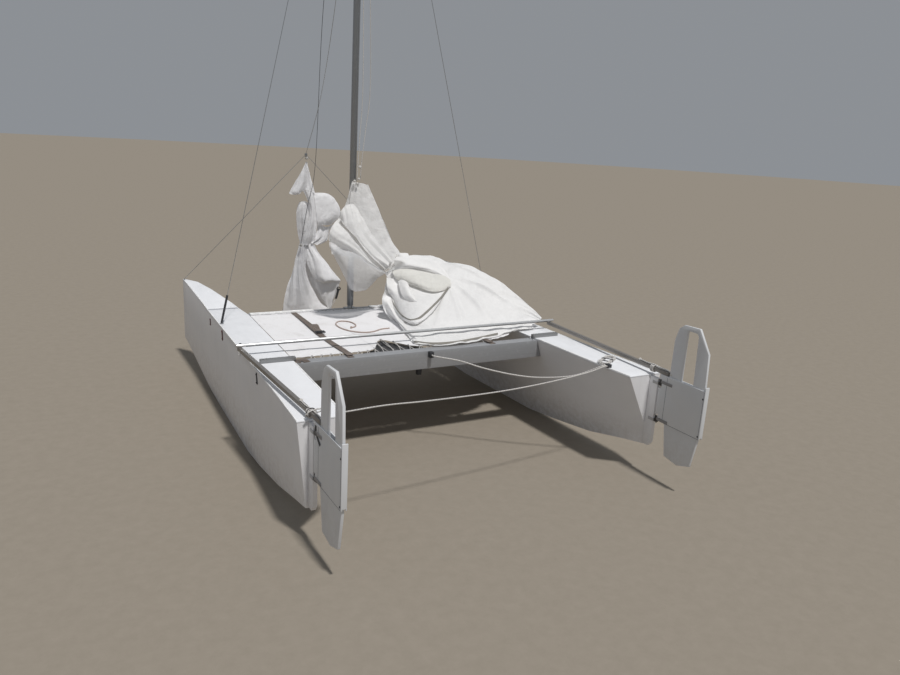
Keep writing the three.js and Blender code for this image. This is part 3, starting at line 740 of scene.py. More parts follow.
# Hard pieces that keep their shape: look, rounding and nodes, where a star stands for both sides
SKINS = [
    ("hull", 0.004, ["hull_*"]),
    ("hull", 0.003, ["sternpost_*"]),
    ("deck", 0.002, ["deck_*", "foredeck_*"]),
    ("rudder", 0.002, ["rudder_box_*"]),
    ("rudder", 0.005, ["rudder_blade_*"]),
    ("gudgeon", 0.0006, ["gudgeon_upper_*", "gudgeon_lower_*"]),
    ("strap", 0.0006, ["pintle_upper_*", "pintle_lower_*"]),
    ("beam", 0.004, ["rear_beam", "front_beam"]),
    ("deck_bar", 0.002, ["deck_bar_*"]),
    ("tiller", 0.003, ["tiller_*"]),
    ("bright", 0.0015, ["tiller_bar"]),
    ("mast", 0.003, ["mast"]),
    ("steel", 0.0003, ["shroud_*", "bridle_*", "forestay"]),
    ("steel", 0.0008, ["tiller_pin_port"]),
    ("steel", 0.001, ["chainplate_*", "bow_eye_*", "hounds"]),
    ("steel", 0.002, ["bridle_ring", "eye_stern_port"]),
    ("black", 0.0008, ["shroud_lashing_*"]),
    ("black", 0.002, ["masthead"]),
    ("black", 0.003, ["block_beam", "block_under_beam", "block_deck"]),
]
def make_skins():
    for look, width, nodes in SKINS:
        for node in nodes:
            for side in SIDES if "*" in node else [""]:
                bevelled(node.replace("*", side), look, width)
    bevelled("mast_step", "steel", 0.001, "alloy")


def grid_surface(rows, across, down):
    """A smooth grid of points through the control rows: down by across points."""

    def spline(values, count):
        n = len(values)
        pad = np.concatenate([[2 * values[0] - values[1]], values, [2 * values[-1] - values[-2]]])
        out = []
        for t in np.linspace(0, n - 1, count):
            i = min(int(t), n - 2)
            u = t - i
            p0, p1, p2, p3 = pad[i:i + 4]
            out.append(0.5 * (2 * p1 + (p2 - p0) * u + (2 * p0 - 5 * p1 + 4 * p2 - p3) * u * u
                              + (3 * p1 - 3 * p2 + p3 - p0) * u ** 3))
        return np.array(out)

    wide = np.array([spline(row, across) for row in array_of(rows)])
    return np.array([spline(wide[:, k], down) for k in range(across)]).transpose(1, 0, 2)


# The trampoline: the corner it leaves open at starboard aft, and the laced gap in front of the rear beam
TRAMP_AFT = 1.006
TRAMP_FRONT = 2.138
TRAMP_CORNER = [(0.5, 0.0), (0.6, 0.01), (0.72, 0.055), (0.8, 0.12), (0.86, 0.2), (0.9, 0.26)]
GAP_MIDDLE = -0.185
GAP_WIDTH = 0.098
GAP_DEPTH = 0.225
LACE_PITCH = 0.062
LACE_R = 0.0026
EYELET_R = 0.0055
EYELET_THICK = 0.0011
HEM_W = 0.03
HEM_LIFT = 0.0012
TRAMP_SIZE = (1.7, 1.15)


def tramp_aft(x):
    """How far aft the trampoline reaches at x: scalloped between its eyelets."""
    corner = float(np.interp(x, [p[0] for p in TRAMP_CORNER], [p[1] for p in TRAMP_CORNER]))
    gap = GAP_DEPTH * math.exp(-((x - GAP_MIDDLE) / GAP_WIDTH) ** 2)
    scallop = 0.008 * math.sin(math.pi * (x / LACE_PITCH)) ** 2
    return TRAMP_AFT + corner + gap + scallop


def tramp_front(x):
    return TRAMP_FRONT - 0.01 * math.sin(math.pi * (x / LACE_PITCH)) ** 2


def tramp_height(x, y):
    """Height of the trampoline's cloth: a little slack between the beams, with long shallow wrinkles."""
    u = x / inner_edge(y)
    v = (y - TRAMP_AFT) / (TRAMP_FRONT - TRAMP_AFT)
    away = max(0.0, (1 - u * u) * 4 * v * (1 - v))
    slack = 0.5 + 0.5 * noise.noise(Vector((x * 2.2, y * 1.6, 3.0)))
    wrinkle = 0.0018 * noise.noise(Vector((x * 9, y * 3.5, 1.0))) * min(1, max(0, 12 * v * (1 - v)) + 0.3)
    return TRAMP_Z - 0.007 * away * slack + wrinkle


def tramp_point(u, v, lift=0.0):
    """A point of the trampoline: u from port to starboard, v from aft to the front, -1 to 1 and 0 to 1."""
    y = TRAMP_AFT + (TRAMP_FRONT - TRAMP_AFT) * v
    x = u * (inner_edge(y) - 0.004)
    y = tramp_aft(x) + (tramp_front(x) - tramp_aft(x)) * v
    return at(x, y, tramp_height(x, y) + lift)


def tramp_patch(maker, u_steps, v_steps, flat, lift=0.0):
    panel(maker, array_of([[tramp_point(u, v, lift) for u in u_steps] for v in v_steps]), flat)


def make_trampoline():
    whole_u, whole_v = np.linspace(-1, 1, 140), np.linspace(0, 1, 90)
    maker = Builder()
    tramp_patch(maker, whole_u, whole_v, TRAMP_SIZE)
    cloth = maker.piece("trampoline_sheet", "tramp")
    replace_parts(cloth, "trampoline")
    hem = Builder()
    for ends in ((0.0, 0.03), (0.97, 1.0)):
        tramp_patch(hem, whole_u, ends, (TRAMP_SIZE[0], HEM_W), HEM_LIFT)
    for ends in ((-1.0, -0.965), (0.965, 1.0), (-0.345, -0.325), (0.325, 0.345)):
        tramp_patch(hem, ends, whole_v, (HEM_W, TRAMP_SIZE[1]), HEM_LIFT)
    hem.piece("trampoline_hem", "tramp")


# White batten over the trampoline's front edge, with a foot on the front beam: its parts' x, and its boxes
BATTENS = [(-0.83, -0.348), (0.118, 0.83)]
BATTEN = [(2.12, 2.156, 0.0015, 0.0105), (2.152, 2.16, -0.0084, 0.01)]


# Laced edges: x from and to, the cloth's edge, which way its lacing runs, the beam's face, the hooks' height
LACED = [
    (-0.8, 0.62, tramp_aft, 1, REAR["front"], -0.022),
    (-0.79, 0.79, tramp_front, -1, FRONT["aft"], -0.012),
]


def make_lacing():
    """Zigzag lacing from the eyelets of the trampoline to hooks on the beams' near faces."""
    rope, rings = Builder(), Builder()
    for x0, x1, edge, sign, face, drop in LACED:
        route = []
        for i in range(int((x1 - x0) / LACE_PITCH)):
            x = (math.floor(x0 / LACE_PITCH) + i + 0.5) * LACE_PITCH
            eye = at(x + LACE_PITCH / 2, edge(x + LACE_PITCH / 2) + sign * 0.01, TRAMP_Z + 0.002)
            rings.ring(eye, UP, EYELET_R, EYELET_THICK, turns=14, sides=6)
            x += 0.006 * math.sin(i * 2.3)
            near = face + sign * (LACE_R + 0.0004)
            route += [at(x, near, drop), at(x + 0.012, near + sign * 0.001, drop + 0.004),
                      eye + Vector((0, -sign * 0.004, 0.003)), eye + Vector((0, sign * 0.003, -0.003))]
        rope.rope(route, 0.012, LACE_R, sides=6)
    rope.piece("lacing", "rope")
    rings.piece("eyelets", "steel")
    batten = Builder()
    for x0, x1 in BATTENS:
        for aft, front, low, top in BATTEN:
            batten.box(at(x0, aft, low), at(x1, front, top))
    batten.piece("front_batten", "white_trim")


# A dark webbing sheet hangs under the laced gap as painted shade, where only the shaded ground shows: its x
# range, and how far under the trampoline
GAP_SHADE_X = (-0.4, 0.03)
GAP_SHADE_DROP = 0.012


def make_gap_shade():
    aft = REAR["front"] + 0.005
    rows = []
    for share in np.linspace(0, 1, 24):
        spots = [(x, aft + (tramp_aft(x) + 0.014 - aft) * share) for x in np.linspace(*GAP_SHADE_X, 80)]
        drop = GAP_SHADE_DROP + 0.014 * math.sin(math.pi * share)
        rows.append([at(x, y, tramp_height(x, y) - drop) for x, y in spots])
    maker = Builder()
    # Painted shade: a dark sheet under the gap.
    panel(maker, ripple(array_of(rows), 77, 7.0, 0.003, (1.0, 1.0), 0.006), (0.44, 0.2))
    maker.piece("gap_painted_shade", "black_web")


STRAP_X = 0.52
STRAP_W = 0.042
STRAP_AFT = 0.95
STRAP_LENGTH = 1.168
WEB_THICK = 0.0022
# The slide block's four bars: x and y from, x and y to, height
SLIDE = [
    (0, 0, 0.064, 0.012, 0.007), (0, 0.026, 0.064, 0.038, 0.007),
    (0, 0, 0.007, 0.038, 0.006), (0.057, 0, 0.064, 0.038, 0.006),
]


def make_straps():
    """Hiking straps from beam to beam, and a slide block on each."""
    for side, sign in SIDES.items():
        x = sign * STRAP_X
        line = []
        for share in np.linspace(0, 1, 61):
            y = STRAP_AFT + STRAP_LENGTH * share
            lift = 0.003 * (1 + math.sin(9 * y + sign)) * min(1, 6 * share, 6 * (1 - share))
            line.append(at(x + 0.012 * math.sin(4.3 * y + 1.1 * sign), y, TRAMP_Z + 0.004 + lift))
        tail = [at(x + 0.004 * k, 1.5 + 0.022 * k, 0.006 + 0.004 * math.sin(k)) for k in range(12)]
        top, front = REAR["top"] + WEB_THICK, REAR["front"]
        rear = [(x, front + 0.01, top + 0.0034), (x, front, top), (x, REAR["aft"] + 0.014, top)]
        maker = Builder()
        maker.ribbon(line, STRAP_W, WEB_THICK)
        maker.ribbon(tail, STRAP_W * 0.9, 0.002)
        maker.ribbon(places(rear), STRAP_W, WEB_THICK)
        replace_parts(maker.piece(f"hiking_strap_web_{side}", "web"), f"hiking_strap_{side}")
        block = Builder()
        low = at(x - 0.032, 1.475, 0.0085)
        for x0, y0, x1, y1, high in SLIDE:
            block.box(low + Vector((x0, y0, 0)), low + Vector((x1, y1, high)))
        block.piece(f"strap_slide_{side}", "black")


# Webbing round the rear beam: x and lean of two loops, their y, and a loose fold
BEAM_LOOPS = [(-0.862, 0.1), (-0.812, -0.12)]
BEAM_LOOP_Y = (0.917, 0.935, 0.953, 0.972, 0.99)
BEAM_FOLD = [(-0.876, 0.968, -0.003), (-0.85, 0.958, -0.0022), (-0.82, 0.95, -0.0026),
             (-0.792, 0.944, -0.0034)]


def make_beam_webbing():
    wrap = Builder()
    for x, lean in BEAM_LOOPS:
        wrap.ribbon([at(x + lean * (y - 0.953), y, -0.006) for y in BEAM_LOOP_Y], STRAP_W, 0.0024)
    wrap.ribbon(smooth_line(places(BEAM_FOLD), 0.01), 0.03, WEB_THICK, AHEAD)
    wrap.piece("beam_webbing", "web")


# Bolts on both sides: x, y, z, direction, radius, height
BOLTS = [(x, 0.961, 0.023, UP, 0.005, 0.004) for x in (0.888, 0.91, 1.04, 1.062)]
BOLTS += [(0.8, y, FRONT["top"], UP, 0.005, 0.005) for y in (2.17, 2.195)]
BOLTS += [(0.86, y, REAR["top"], UP, 0.005, 0.005) for y in (0.933, 0.973)]
BOLTS += [(1.1, -0.0255, z, -AHEAD, 0.004, 0.004) for z in (-0.035, -0.055)]
# Bolts and seams on a rudder box's cheeks: y and z; and a seam strip's width and thickness
CHEEK_BOLTS = [(y, z) for y in (-0.125, -0.432) for z in (-0.02, -0.25)]
CHEEK_SEAMS = [([(y, z) for z in (0.022, -0.12, -0.262)], AHEAD) for y in (-0.147, -0.4355)]
CHEEK_SEAMS += [([(y, -0.2655) for y in (-0.11, -0.27, -0.44)], UP)]
SEAM_STRIP = (0.0022, 0.0008)
# Lacing hooks on the front beam: their x, and their box's y, z and half width
HOOK_Y = (2.1465, 2.1498)
HOOK_Z = (-0.03, -0.016)
HOOK_HALF = 0.009
# The bracket under the rear beam: its two legs' x at the top and the foot, their y and z
BRACKET_X = [(0.94, 0.962), (0.992, 0.97)]
BRACKET_Y = 0.9105
BRACKET_Z = (-0.04, -0.085, -0.128)
HOOKS_X = (-0.36, -0.24, -0.12, 0.1, 0.22, 0.34, 0.46, 0.58)


def make_rudder_marks(side, sign):
    """Bolts and seams on both cheeks of a rudder box."""
    rudder, seams = Builder(), Builder()
    for face in (1, -1):
        x = sign * (HULL_X + face * (BOX_HALF + 0.0001))
        for y, z in CHEEK_BOLTS:
            rudder.bolt(at(x, y, z), ACROSS * sign * face, 0.0042, 0.003, sides=8)
        for spots, across in CHEEK_SEAMS:
            seams.ribbon([at(x, y, z) for y, z in spots], *SEAM_STRIP, across)
    rudder.piece(f"rudder_bolts_{side}", "black", f"rudder_{side}")
    seams.piece(f"cheek_seams_{side}", "seam", f"rudder_{side}", "hull_paint")


def make_fittings():
    """Bolts, brackets and small marks on the beams, decks and rudders."""
    bolts, plates, darks = Builder(), Builder(), Builder()
    for side, sign in SIDES.items():
        for x, y, z, direction, radius, height in BOLTS:
            bolts.bolt(at(sign * x, y, z), direction, radius, height)
        make_rudder_marks(side, sign)
    for x in HOOKS_X:
        low, high = zip((x - HOOK_HALF, x + HOOK_HALF), HOOK_Y, HOOK_Z)
        darks.box(at(*low), at(*high))
    for x0, x1 in BRACKET_X:
        ys = (BRACKET_Y, BRACKET_Y - 0.001, BRACKET_Y)
        plates.ribbon(places(zip((x0, (x0 + x1) / 2, x1), ys, BRACKET_Z)), 0.007, 0.003)
    bolts.piece("bolts", "steel")
    darks.piece("beam_hooks", "black")
    plates.piece("beam_bracket", "steel")


# Halyards: name, radius, look, photo pixels with their distance forward, and places above the photo's edge
MASTHEAD_Z = 4.944
HOUND = (-0.03, 2.136, 4.262)
HALYARDS = [
    ("halyard_main", 0.003, "rope", [(356.8, 181, 2.106), (359.6, 140, 2.108), (362.6, 97, 2.112)],
     [(-0.01, 2.128, 2.6), (-0.016, 2.13, 3.8), (-0.022, 2.138, MASTHEAD_Z)]),
    ("halyard_tail", 0.003, "rope", [(360.4, 178.5, 2.106), (361.2, 166.4, 2.106), (365.6, 130, 2.11),
                                      (369.8, 97, 2.114)],
     [(0.034, 2.122, 2.6), (0.01, 2.126, 3.8), (-0.006, 2.138, MASTHEAD_Z)]),
    ("halyard_jib", 0.0022, "dark_rope", [(300.6, 245.3, 3.19), (304.4, 223.5, 3.178), (307.9, 204, 3.17),
                                          (313.7, 178.6, 3.15)],
     [(-0.045, 2.82, 2.35), (-0.038, 2.4, 3.6), HOUND]),
]
KNOTS = [  # photo x, photo y, distance forward, size
    (354.6, 181, 2.104, 0.012), (357.2, 183.5, 2.1, 0.011), (360, 167, 2.104, 0.013),
    (359, 179, 2.102, 0.011), (306.6, 158, 3.246, 0.016), (301, 245, 3.196, 0.016),
]
# The groove up the mast's aft face: x, width and how far it stands out, and its heights
MAST_AFT = 2.153
GROOVE = [(-0.03, 0.005, 0.0006), (-0.037, 0.0035, 0.0022), (-0.023, 0.0035, 0.0022)]
GROOVE_Z = (0.09, 1.5, 3.0, 4.2, 4.92)


def make_lines():
    for name, radius, look, pixels, above in HALYARDS:
        maker = Builder()
        maker.rope(sights(pixels) + places(above), 0.03, radius, sides=6)
        maker.piece(name, look)
    maker = Builder()
    for px, py, y, size in KNOTS:
        knot(maker, seen(px, py, y), size, size * 0.34)
    maker.piece("knots", "rope")
    groove = Builder()
    for x, width, out in GROOVE:
        groove.ribbon([at(x, MAST_AFT - out, z) for z in GROOVE_Z], width, 0.0018)
    groove.piece("mast_groove", "mast")


# Rope round the rudder heads: a loop's places across a tiller and heights, the radius, a loose end at port
HEAD_LOOP = [(-0.0165, 0.056), (0.0165, 0.056), (0.0165, 0.0245), (-0.0165, 0.0245), (-0.0165, 0.056),
             (0.0, 0.0575)]
LASHING_R = 0.0036
PORT_LOOSE = [
    (-1.112, -0.012, 0.03), (-1.136, -0.028, 0.036), (-1.128, -0.034, 0.052), (-1.102, -0.03, 0.061),
    (-1.07, -0.03, 0.064), (-1.05, -0.022, 0.058), (-1.052, -0.01, 0.044), (-1.074, -0.004, 0.036),
]


def toe(y):
    """The tiller's x at a distance ahead of the rudder's pins."""
    return HULL_X + 0.0415 * (y - PIN_Y)


def make_rudder_lines():
    """Lashings on the rudder heads and their pull-down lines."""
    over = [(toe(0.12), 0.12, 0.0565), (toe(0.05) + 0.004, 0.05, 0.0575), (toe(0.0), 0.0, 0.0605),
            (toe(-0.07) - 0.003, -0.07, 0.057), (HULL_X, -0.135, 0.057), (HULL_X, -0.158, 0.048)]
    beside = [(toe(0.118), 0.118, 0.06), (1.101, 0.04, 0.061), (1.104, -0.01, 0.064), (1.102, -0.07, 0.06),
              (1.106, -0.12, 0.058), (1.1, -0.172, 0.04)]
    for side, sign in SIDES.items():
        rope = Builder()
        for y in (-0.02, -0.01, 0.001):
            loop = [at(sign * (toe(y) + dx), y + 0.06 * dz, dz) for dx, dz in HEAD_LOOP]
            rope.rope(loop, 0.006, 0.0033, sides=7)
        rope.rope(places(over, sign), 0.008, LASHING_R)
        knot(rope, at(sign * HULL_X, -0.165, 0.042), 0.013, 0.0045)
        knot(rope, at(sign * toe(0.122), 0.124, 0.059), 0.011, 0.004)
        if side == "port":
            rope.rope(places(PORT_LOOSE), 0.006, LASHING_R)
        else:
            rope.rope(places(beside), 0.008, LASHING_R)
        rope.piece(f"rudder_lashing_{side}", "rope", f"rudder_{side}")


def make_tiller_strap():
    """The black strap round the port tiller, whose tail hangs on the rudder box."""
    strap = Builder()
    cheek = -HULL_X - BOX_HALF - 0.0026
    hang = places([(cheek + 0.001, -0.112, 0.016), (cheek, -0.114, -0.004), (cheek, -0.124, -0.026),
                   (cheek, -0.15, -0.046), (cheek, -0.176, -0.06)])
    strap.ribbon(smooth_line(hang, 0.006), 0.013, 0.0018, Vector((0, 0.35, 1)).normalized())
    strap.ring(at(-toe(-0.012), -0.012, 0.04), AHEAD, 0.0235, 0.0042)
    strap.piece("tiller_strap_port", "black_web", "rudder_port")


# Small marks on each hull's outboard side: how far they stand out, and y, z, length, height, look
MARK_OUT = 0.0022
SIDE_MARKS = [
    (2.257, -0.064, 0.014, 0.05, "red"),
    (1.817, -0.05, 0.016, 0.072, "red"),
    (1.28, -0.025, 0.03, 0.022, "white_trim"),
    (0.843, -0.052, 0.016, 0.068, "black_web"),
]


def make_side_strap(side, sign, i, mark):
    y, z, length, height, look = mark
    maker = Builder()

    def on_side(share):
        h = z + height * share
        return at(sign * (side_x(y, h) + MARK_OUT), y, h)

    maker.ribbon([on_side(share) for share in (-0.5, 0, 0.5)], length, 0.003, AHEAD)
    for share in (-0.35, 0.35):
        maker.bolt(on_side(share), ACROSS * sign, 0.004, 0.005)
    maker.piece(f"side_strap_{i}_{side}", look, slot="webbing")


def make_hull_marks():
    for side, sign in SIDES.items():
        for i, mark in enumerate(SIDE_MARKS):
            make_side_strap(side, sign, i, mark)
        seam, trim = Builder(), Builder()
        for y in (SEAM_Y - 0.014, SEAM_Y + 0.004):
            ends = (inner_edge(y) + 0.006, 0.96, outer_edge(y) - 0.006)
            seam.ribbon([at(sign * x, y, deck_top(y) + 0.0006) for x in ends], 0.005, 0.0012, AHEAD)
        outer = [(outer_edge(y) - 0.0035, y, deck_top(y) + 0.001) for y in np.linspace(0.01, 3.2, 34)]
        trim.ribbon(places(outer, sign), 0.005, 0.003)
        inner = [(inner_edge(y) + 0.005, y, 0.001) for y in np.linspace(0.01, 0.9, 12)]
        trim.ribbon(places(inner, sign), 0.008, 0.003)
        seam.piece(f"deck_seam_{side}", "seam")
        trim.piece(f"deck_trim_{side}", "white_trim")
    # Painted shade: a black strip along the tie bar's underside stands for the shade under the bar.
    line = Builder()
    for x0, x1 in ((-1.12, 0.0), (0.0, 1.12)):
        line.ribbon([at(x, 1.1313, 0.0592) for x in (x0, x1)], 0.0055, 0.0012, Vector((0, 0.5, -0.86)))
    line.piece("tie_bar_painted_shade", "black", "tie_bar")


def normals_of(grid):
    du = np.gradient(grid, axis=1)
    dv = np.gradient(grid, axis=0)
    n = np.cross(du, dv)
    return n / np.maximum(np.linalg.norm(n, axis=2, keepdims=True), 1e-9)


def ripple(grid, seed, folds, depth, ends, crumple):
    """Folds that run down the grid: deepest at the ends named, with smaller creases between."""
    down, across = grid.shape[:2]
    n = normals_of(grid)
    rng = np.random.default_rng(seed)
    u = np.linspace(0, 1, across)[None, :]
    v = np.linspace(0, 1, down)[:, None]
    phase = rng.uniform(0, 6.28, 4)
    bend = 0.08 * np.sin(3.1 * v + phase[0]) + 0.04 * np.sin(7.3 * v + phase[1])
    first = np.sin(2 * math.pi * folds * (u + bend) + phase[2])
    second = np.sin(2 * math.pi * folds * 2.3 * (u + bend * 1.6) + phase[3])
    sharp = np.sign(first) * np.abs(first) ** 0.8
    share = ends[0] * (1 - v) ** 1.3 + ends[1] * v ** 1.3
    height = depth * (0.75 * sharp + 0.25 * second) * share
    out = grid + n * height[:, :, None]
    for i, k in np.ndindex(down, across):
        p = Vector(grid[i, k])
        a = noise.noise(p * 9 + Vector((seed, 0, 0)))
        b = noise.noise(p * 21 + Vector((0, seed, 0)))
        ridge = (0.5 - abs(a)) * 0.7 + (0.4 - abs(b)) * 0.3
        out[i, k] += n[i, k] * ridge * crumple
    return out


def quads(down, across):
    return [[a, a + 1, a + across + 1, a + across]
            for i in range(down - 1) for a in range(i * across, i * across + across - 1)]


def panel(maker, grid, flat):
    """Adds a grid to the mesh, with UVs in metres of flat cloth from its first corner."""
    down, across = grid.shape[:2]
    faces = quads(down, across)
    uvs = [[(a % across / (across - 1) * flat[0], a // across / (down - 1) * flat[1]) for a in face]
           for face in faces]
    maker.add(grid.reshape(-1, 3), faces, uvs)


# Panels of the jib: points across and down, folds, their depth, their share at the top and the foot, the
# panel's distance forward, and rows down the panel of (photo x, photo y, distance ahead of the panel's own).
# Depths and distances are in millimetres here and in the tables of the neck, heap, layers, bands and folds
MM = 1000
JIB_PANELS = {
    "head": (28, 40, 2, 12, (0.2, 1), 3100, [
        [(305.8, 161.5, 150), (306.2, 161.8, 148), (306.8, 162, 150), (307.4, 162.4, 152)],
        [(301.5, 171, 135), (304.5, 171.5, 125), (307.5, 172, 135), (309.8, 173, 150)],
        [(296, 180.5, 130), (301.5, 181.5, 105), (307, 182.5, 125), (312.3, 183.3, 150)],
        [(290.2, 190.6, 130), (297, 191, 90), (304.2, 190, 110), (313.9, 190, 150)],
        [(289.4, 193.6, 135), (295.5, 195.2, 100), (303.5, 191.6, 115), (314.6, 192.6, 150)],
    ]),
    "stripe": (22, 44, 1.5, 10, (0.4, 1), 3100, [
        [(301.5, 188, 125), (306.5, 190, 105), (310.5, 190, 115), (314.2, 190.5, 150)],
        [(306.8, 198, 120), (309.5, 199, 100), (312.8, 199.5, 115), (315.4, 200, 150)],
        [(309.4, 208, 115), (311.5, 209, 100), (314, 209.5, 115), (316.4, 210, 145)],
        [(308.5, 220, 110), (311.5, 221, 95), (314.5, 222, 115), (317.4, 223, 140)],
        [(304.5, 233, 120), (308.5, 234, 100), (312.5, 234, 115), (315.6, 234, 140)],
        [(301, 244.5, 135), (305, 245, 115), (309.5, 245, 125), (313.8, 245, 140)],
    ]),
    "disc": (40, 44, 1, 3, (0.4, 0.6), 3200, [
        [(313.8, 192.8, 56), (321, 192.6, 52), (329, 194, 54), (334.5, 198, 64)],
        [(314.6, 198, 44), (322.5, 197.5, 34), (331.5, 199, 38), (338.2, 204, 62)],
        [(315.8, 207, 34), (324.5, 207, 22), (333.5, 208, 28), (340.4, 211, 58)],
        [(316.6, 215, 28), (325, 215, 14), (333.5, 215, 20), (339.6, 216, 52)],
        [(317.2, 221.5, 28), (323.5, 221.5, 14), (330, 221.5, 20), (335.6, 221, 48)],
        [(317.8, 225, 36), (322.5, 225.4, 24), (327.5, 225.2, 28), (331.4, 224.6, 46)],
    ]),
    "below_disc": (26, 26, 2, 8, (0.6, 1.2), 3200, [
        [(317.4, 223.5, 62), (322, 225.5, 50), (327, 227, 56), (333.5, 224.5, 70)],
        [(317, 230, 56), (320.5, 231.5, 40), (324.5, 232.5, 46), (329.6, 231.5, 62)],
        [(314.5, 236.5, 50), (319, 238.5, 36), (323.5, 240, 44), (327.8, 240, 58)],
        [(309.5, 242.5, 46), (313, 243.8, 36), (316.5, 244.8, 44), (320.5, 245, 54)],
    ]),
    "dome": (34, 40, 2, 8, (0.3, 1.4), 3200, [
        [(299.2, 202.2, 62), (302.5, 201, 56), (306, 201.4, 50), (309.8, 203.2, 46)],
        [(297.4, 207, 62), (301.5, 206, 38), (306, 206.5, 32), (310.6, 208, 40)],
        [(296.4, 216, 62), (301.5, 216.5, 28), (306.5, 217, 24), (311.6, 217, 36)],
        [(297.2, 228, 62), (302, 228.5, 28), (307, 229, 22), (312.5, 229, 36)],
        [(299, 238, 58), (302.5, 238.5, 34), (306.5, 239, 28), (310.5, 239, 38)],
        [(300.4, 245, 52), (303, 245.5, 38), (306, 245.8, 34), (309.5, 245.5, 40)],
    ]),
    "skirt_left": (46, 56, 3.2, 14, (1.3, 0.7), 3100, [
        [(300, 243, 146), (301.5, 243.5, 136), (303, 244, 132), (304.8, 244.5, 138)],
        [(298.2, 251, 152), (300, 251.5, 126), (302.2, 252.5, 118), (304.6, 253, 136)],
        [(293, 266.5, 162), (297.5, 267.5, 106), (302, 269, 92), (306.2, 269.5, 130)],
        [(287.2, 286, 170), (295, 287.5, 86), (303, 289.5, 66), (312.5, 286.5, 122)],
        [(283.6, 302, 172), (294, 304, 76), (306, 305.5, 50), (320, 300.8, 116)],
        [(282.4, 311.5, 172), (294.5, 314, 72), (308, 315, 46), (329, 308.5, 110)],
    ]),
    "flap": (40, 40, 2.2, 10, (1.3, 0.5), 3100, [
        [(303.8, 243.5, 144), (307, 244, 132), (310.5, 244.5, 136), (314, 245, 150)],
        [(304.6, 252.5, 138), (309, 251, 116), (313, 250, 122), (317.5, 252, 150)],
        [(307, 263, 126), (313, 260, 96), (319, 258.5, 100), (325.4, 262, 150)],
        [(311, 272.5, 114), (318, 270.5, 70), (326, 269, 76), (334.2, 272.5, 146)],
        [(313.8, 278.5, 108), (322, 279.8, 50), (331.5, 279.5, 56), (340.4, 279.6, 140)],
        [(314.6, 280.8, 116), (322.5, 283, 76), (331.5, 283, 80), (339.6, 281.6, 140)],
    ]),
    "pocket": (34, 30, 2, 8, (0.8, 1), 3200, [
        [(308.5, 276, 50), (317, 280, 22), (328, 281, 20), (340.2, 280.4, 50)],
        [(312, 285.5, 46), (320, 288, 14), (329, 288.5, 12), (338.2, 286.5, 50)],
        [(316.5, 293.5, 42), (322, 295.5, 12), (329, 296, 12), (335.8, 294.5, 50)],
        [(321, 301.5, 40), (325, 303, 22), (329.5, 303.5, 22), (333, 302.5, 48)],
        [(326, 308.5, 40), (328, 309, 30), (330, 309, 30), (331.5, 308, 44)],
    ]),
    "skirt_back": (40, 40, 3, 16, (1, 1), 3200, [
        [(301, 244, 62), (304.5, 244, 70), (309, 244.5, 70), (313.5, 245, 58)],
        [(293.5, 266.5, 82), (304, 267, 106), (316, 266, 106), (327, 266, 78)],
        [(287.6, 286.5, 94), (304, 287, 126), (322, 286, 126), (338.4, 284.5, 84)],
        [(284, 302.5, 96), (304, 303.5, 130), (322, 302.5, 126), (333.4, 300.5, 84)],
        [(282.6, 311, 94), (304, 313, 126), (322, 311, 122), (331, 308.5, 80)],
    ]),
}


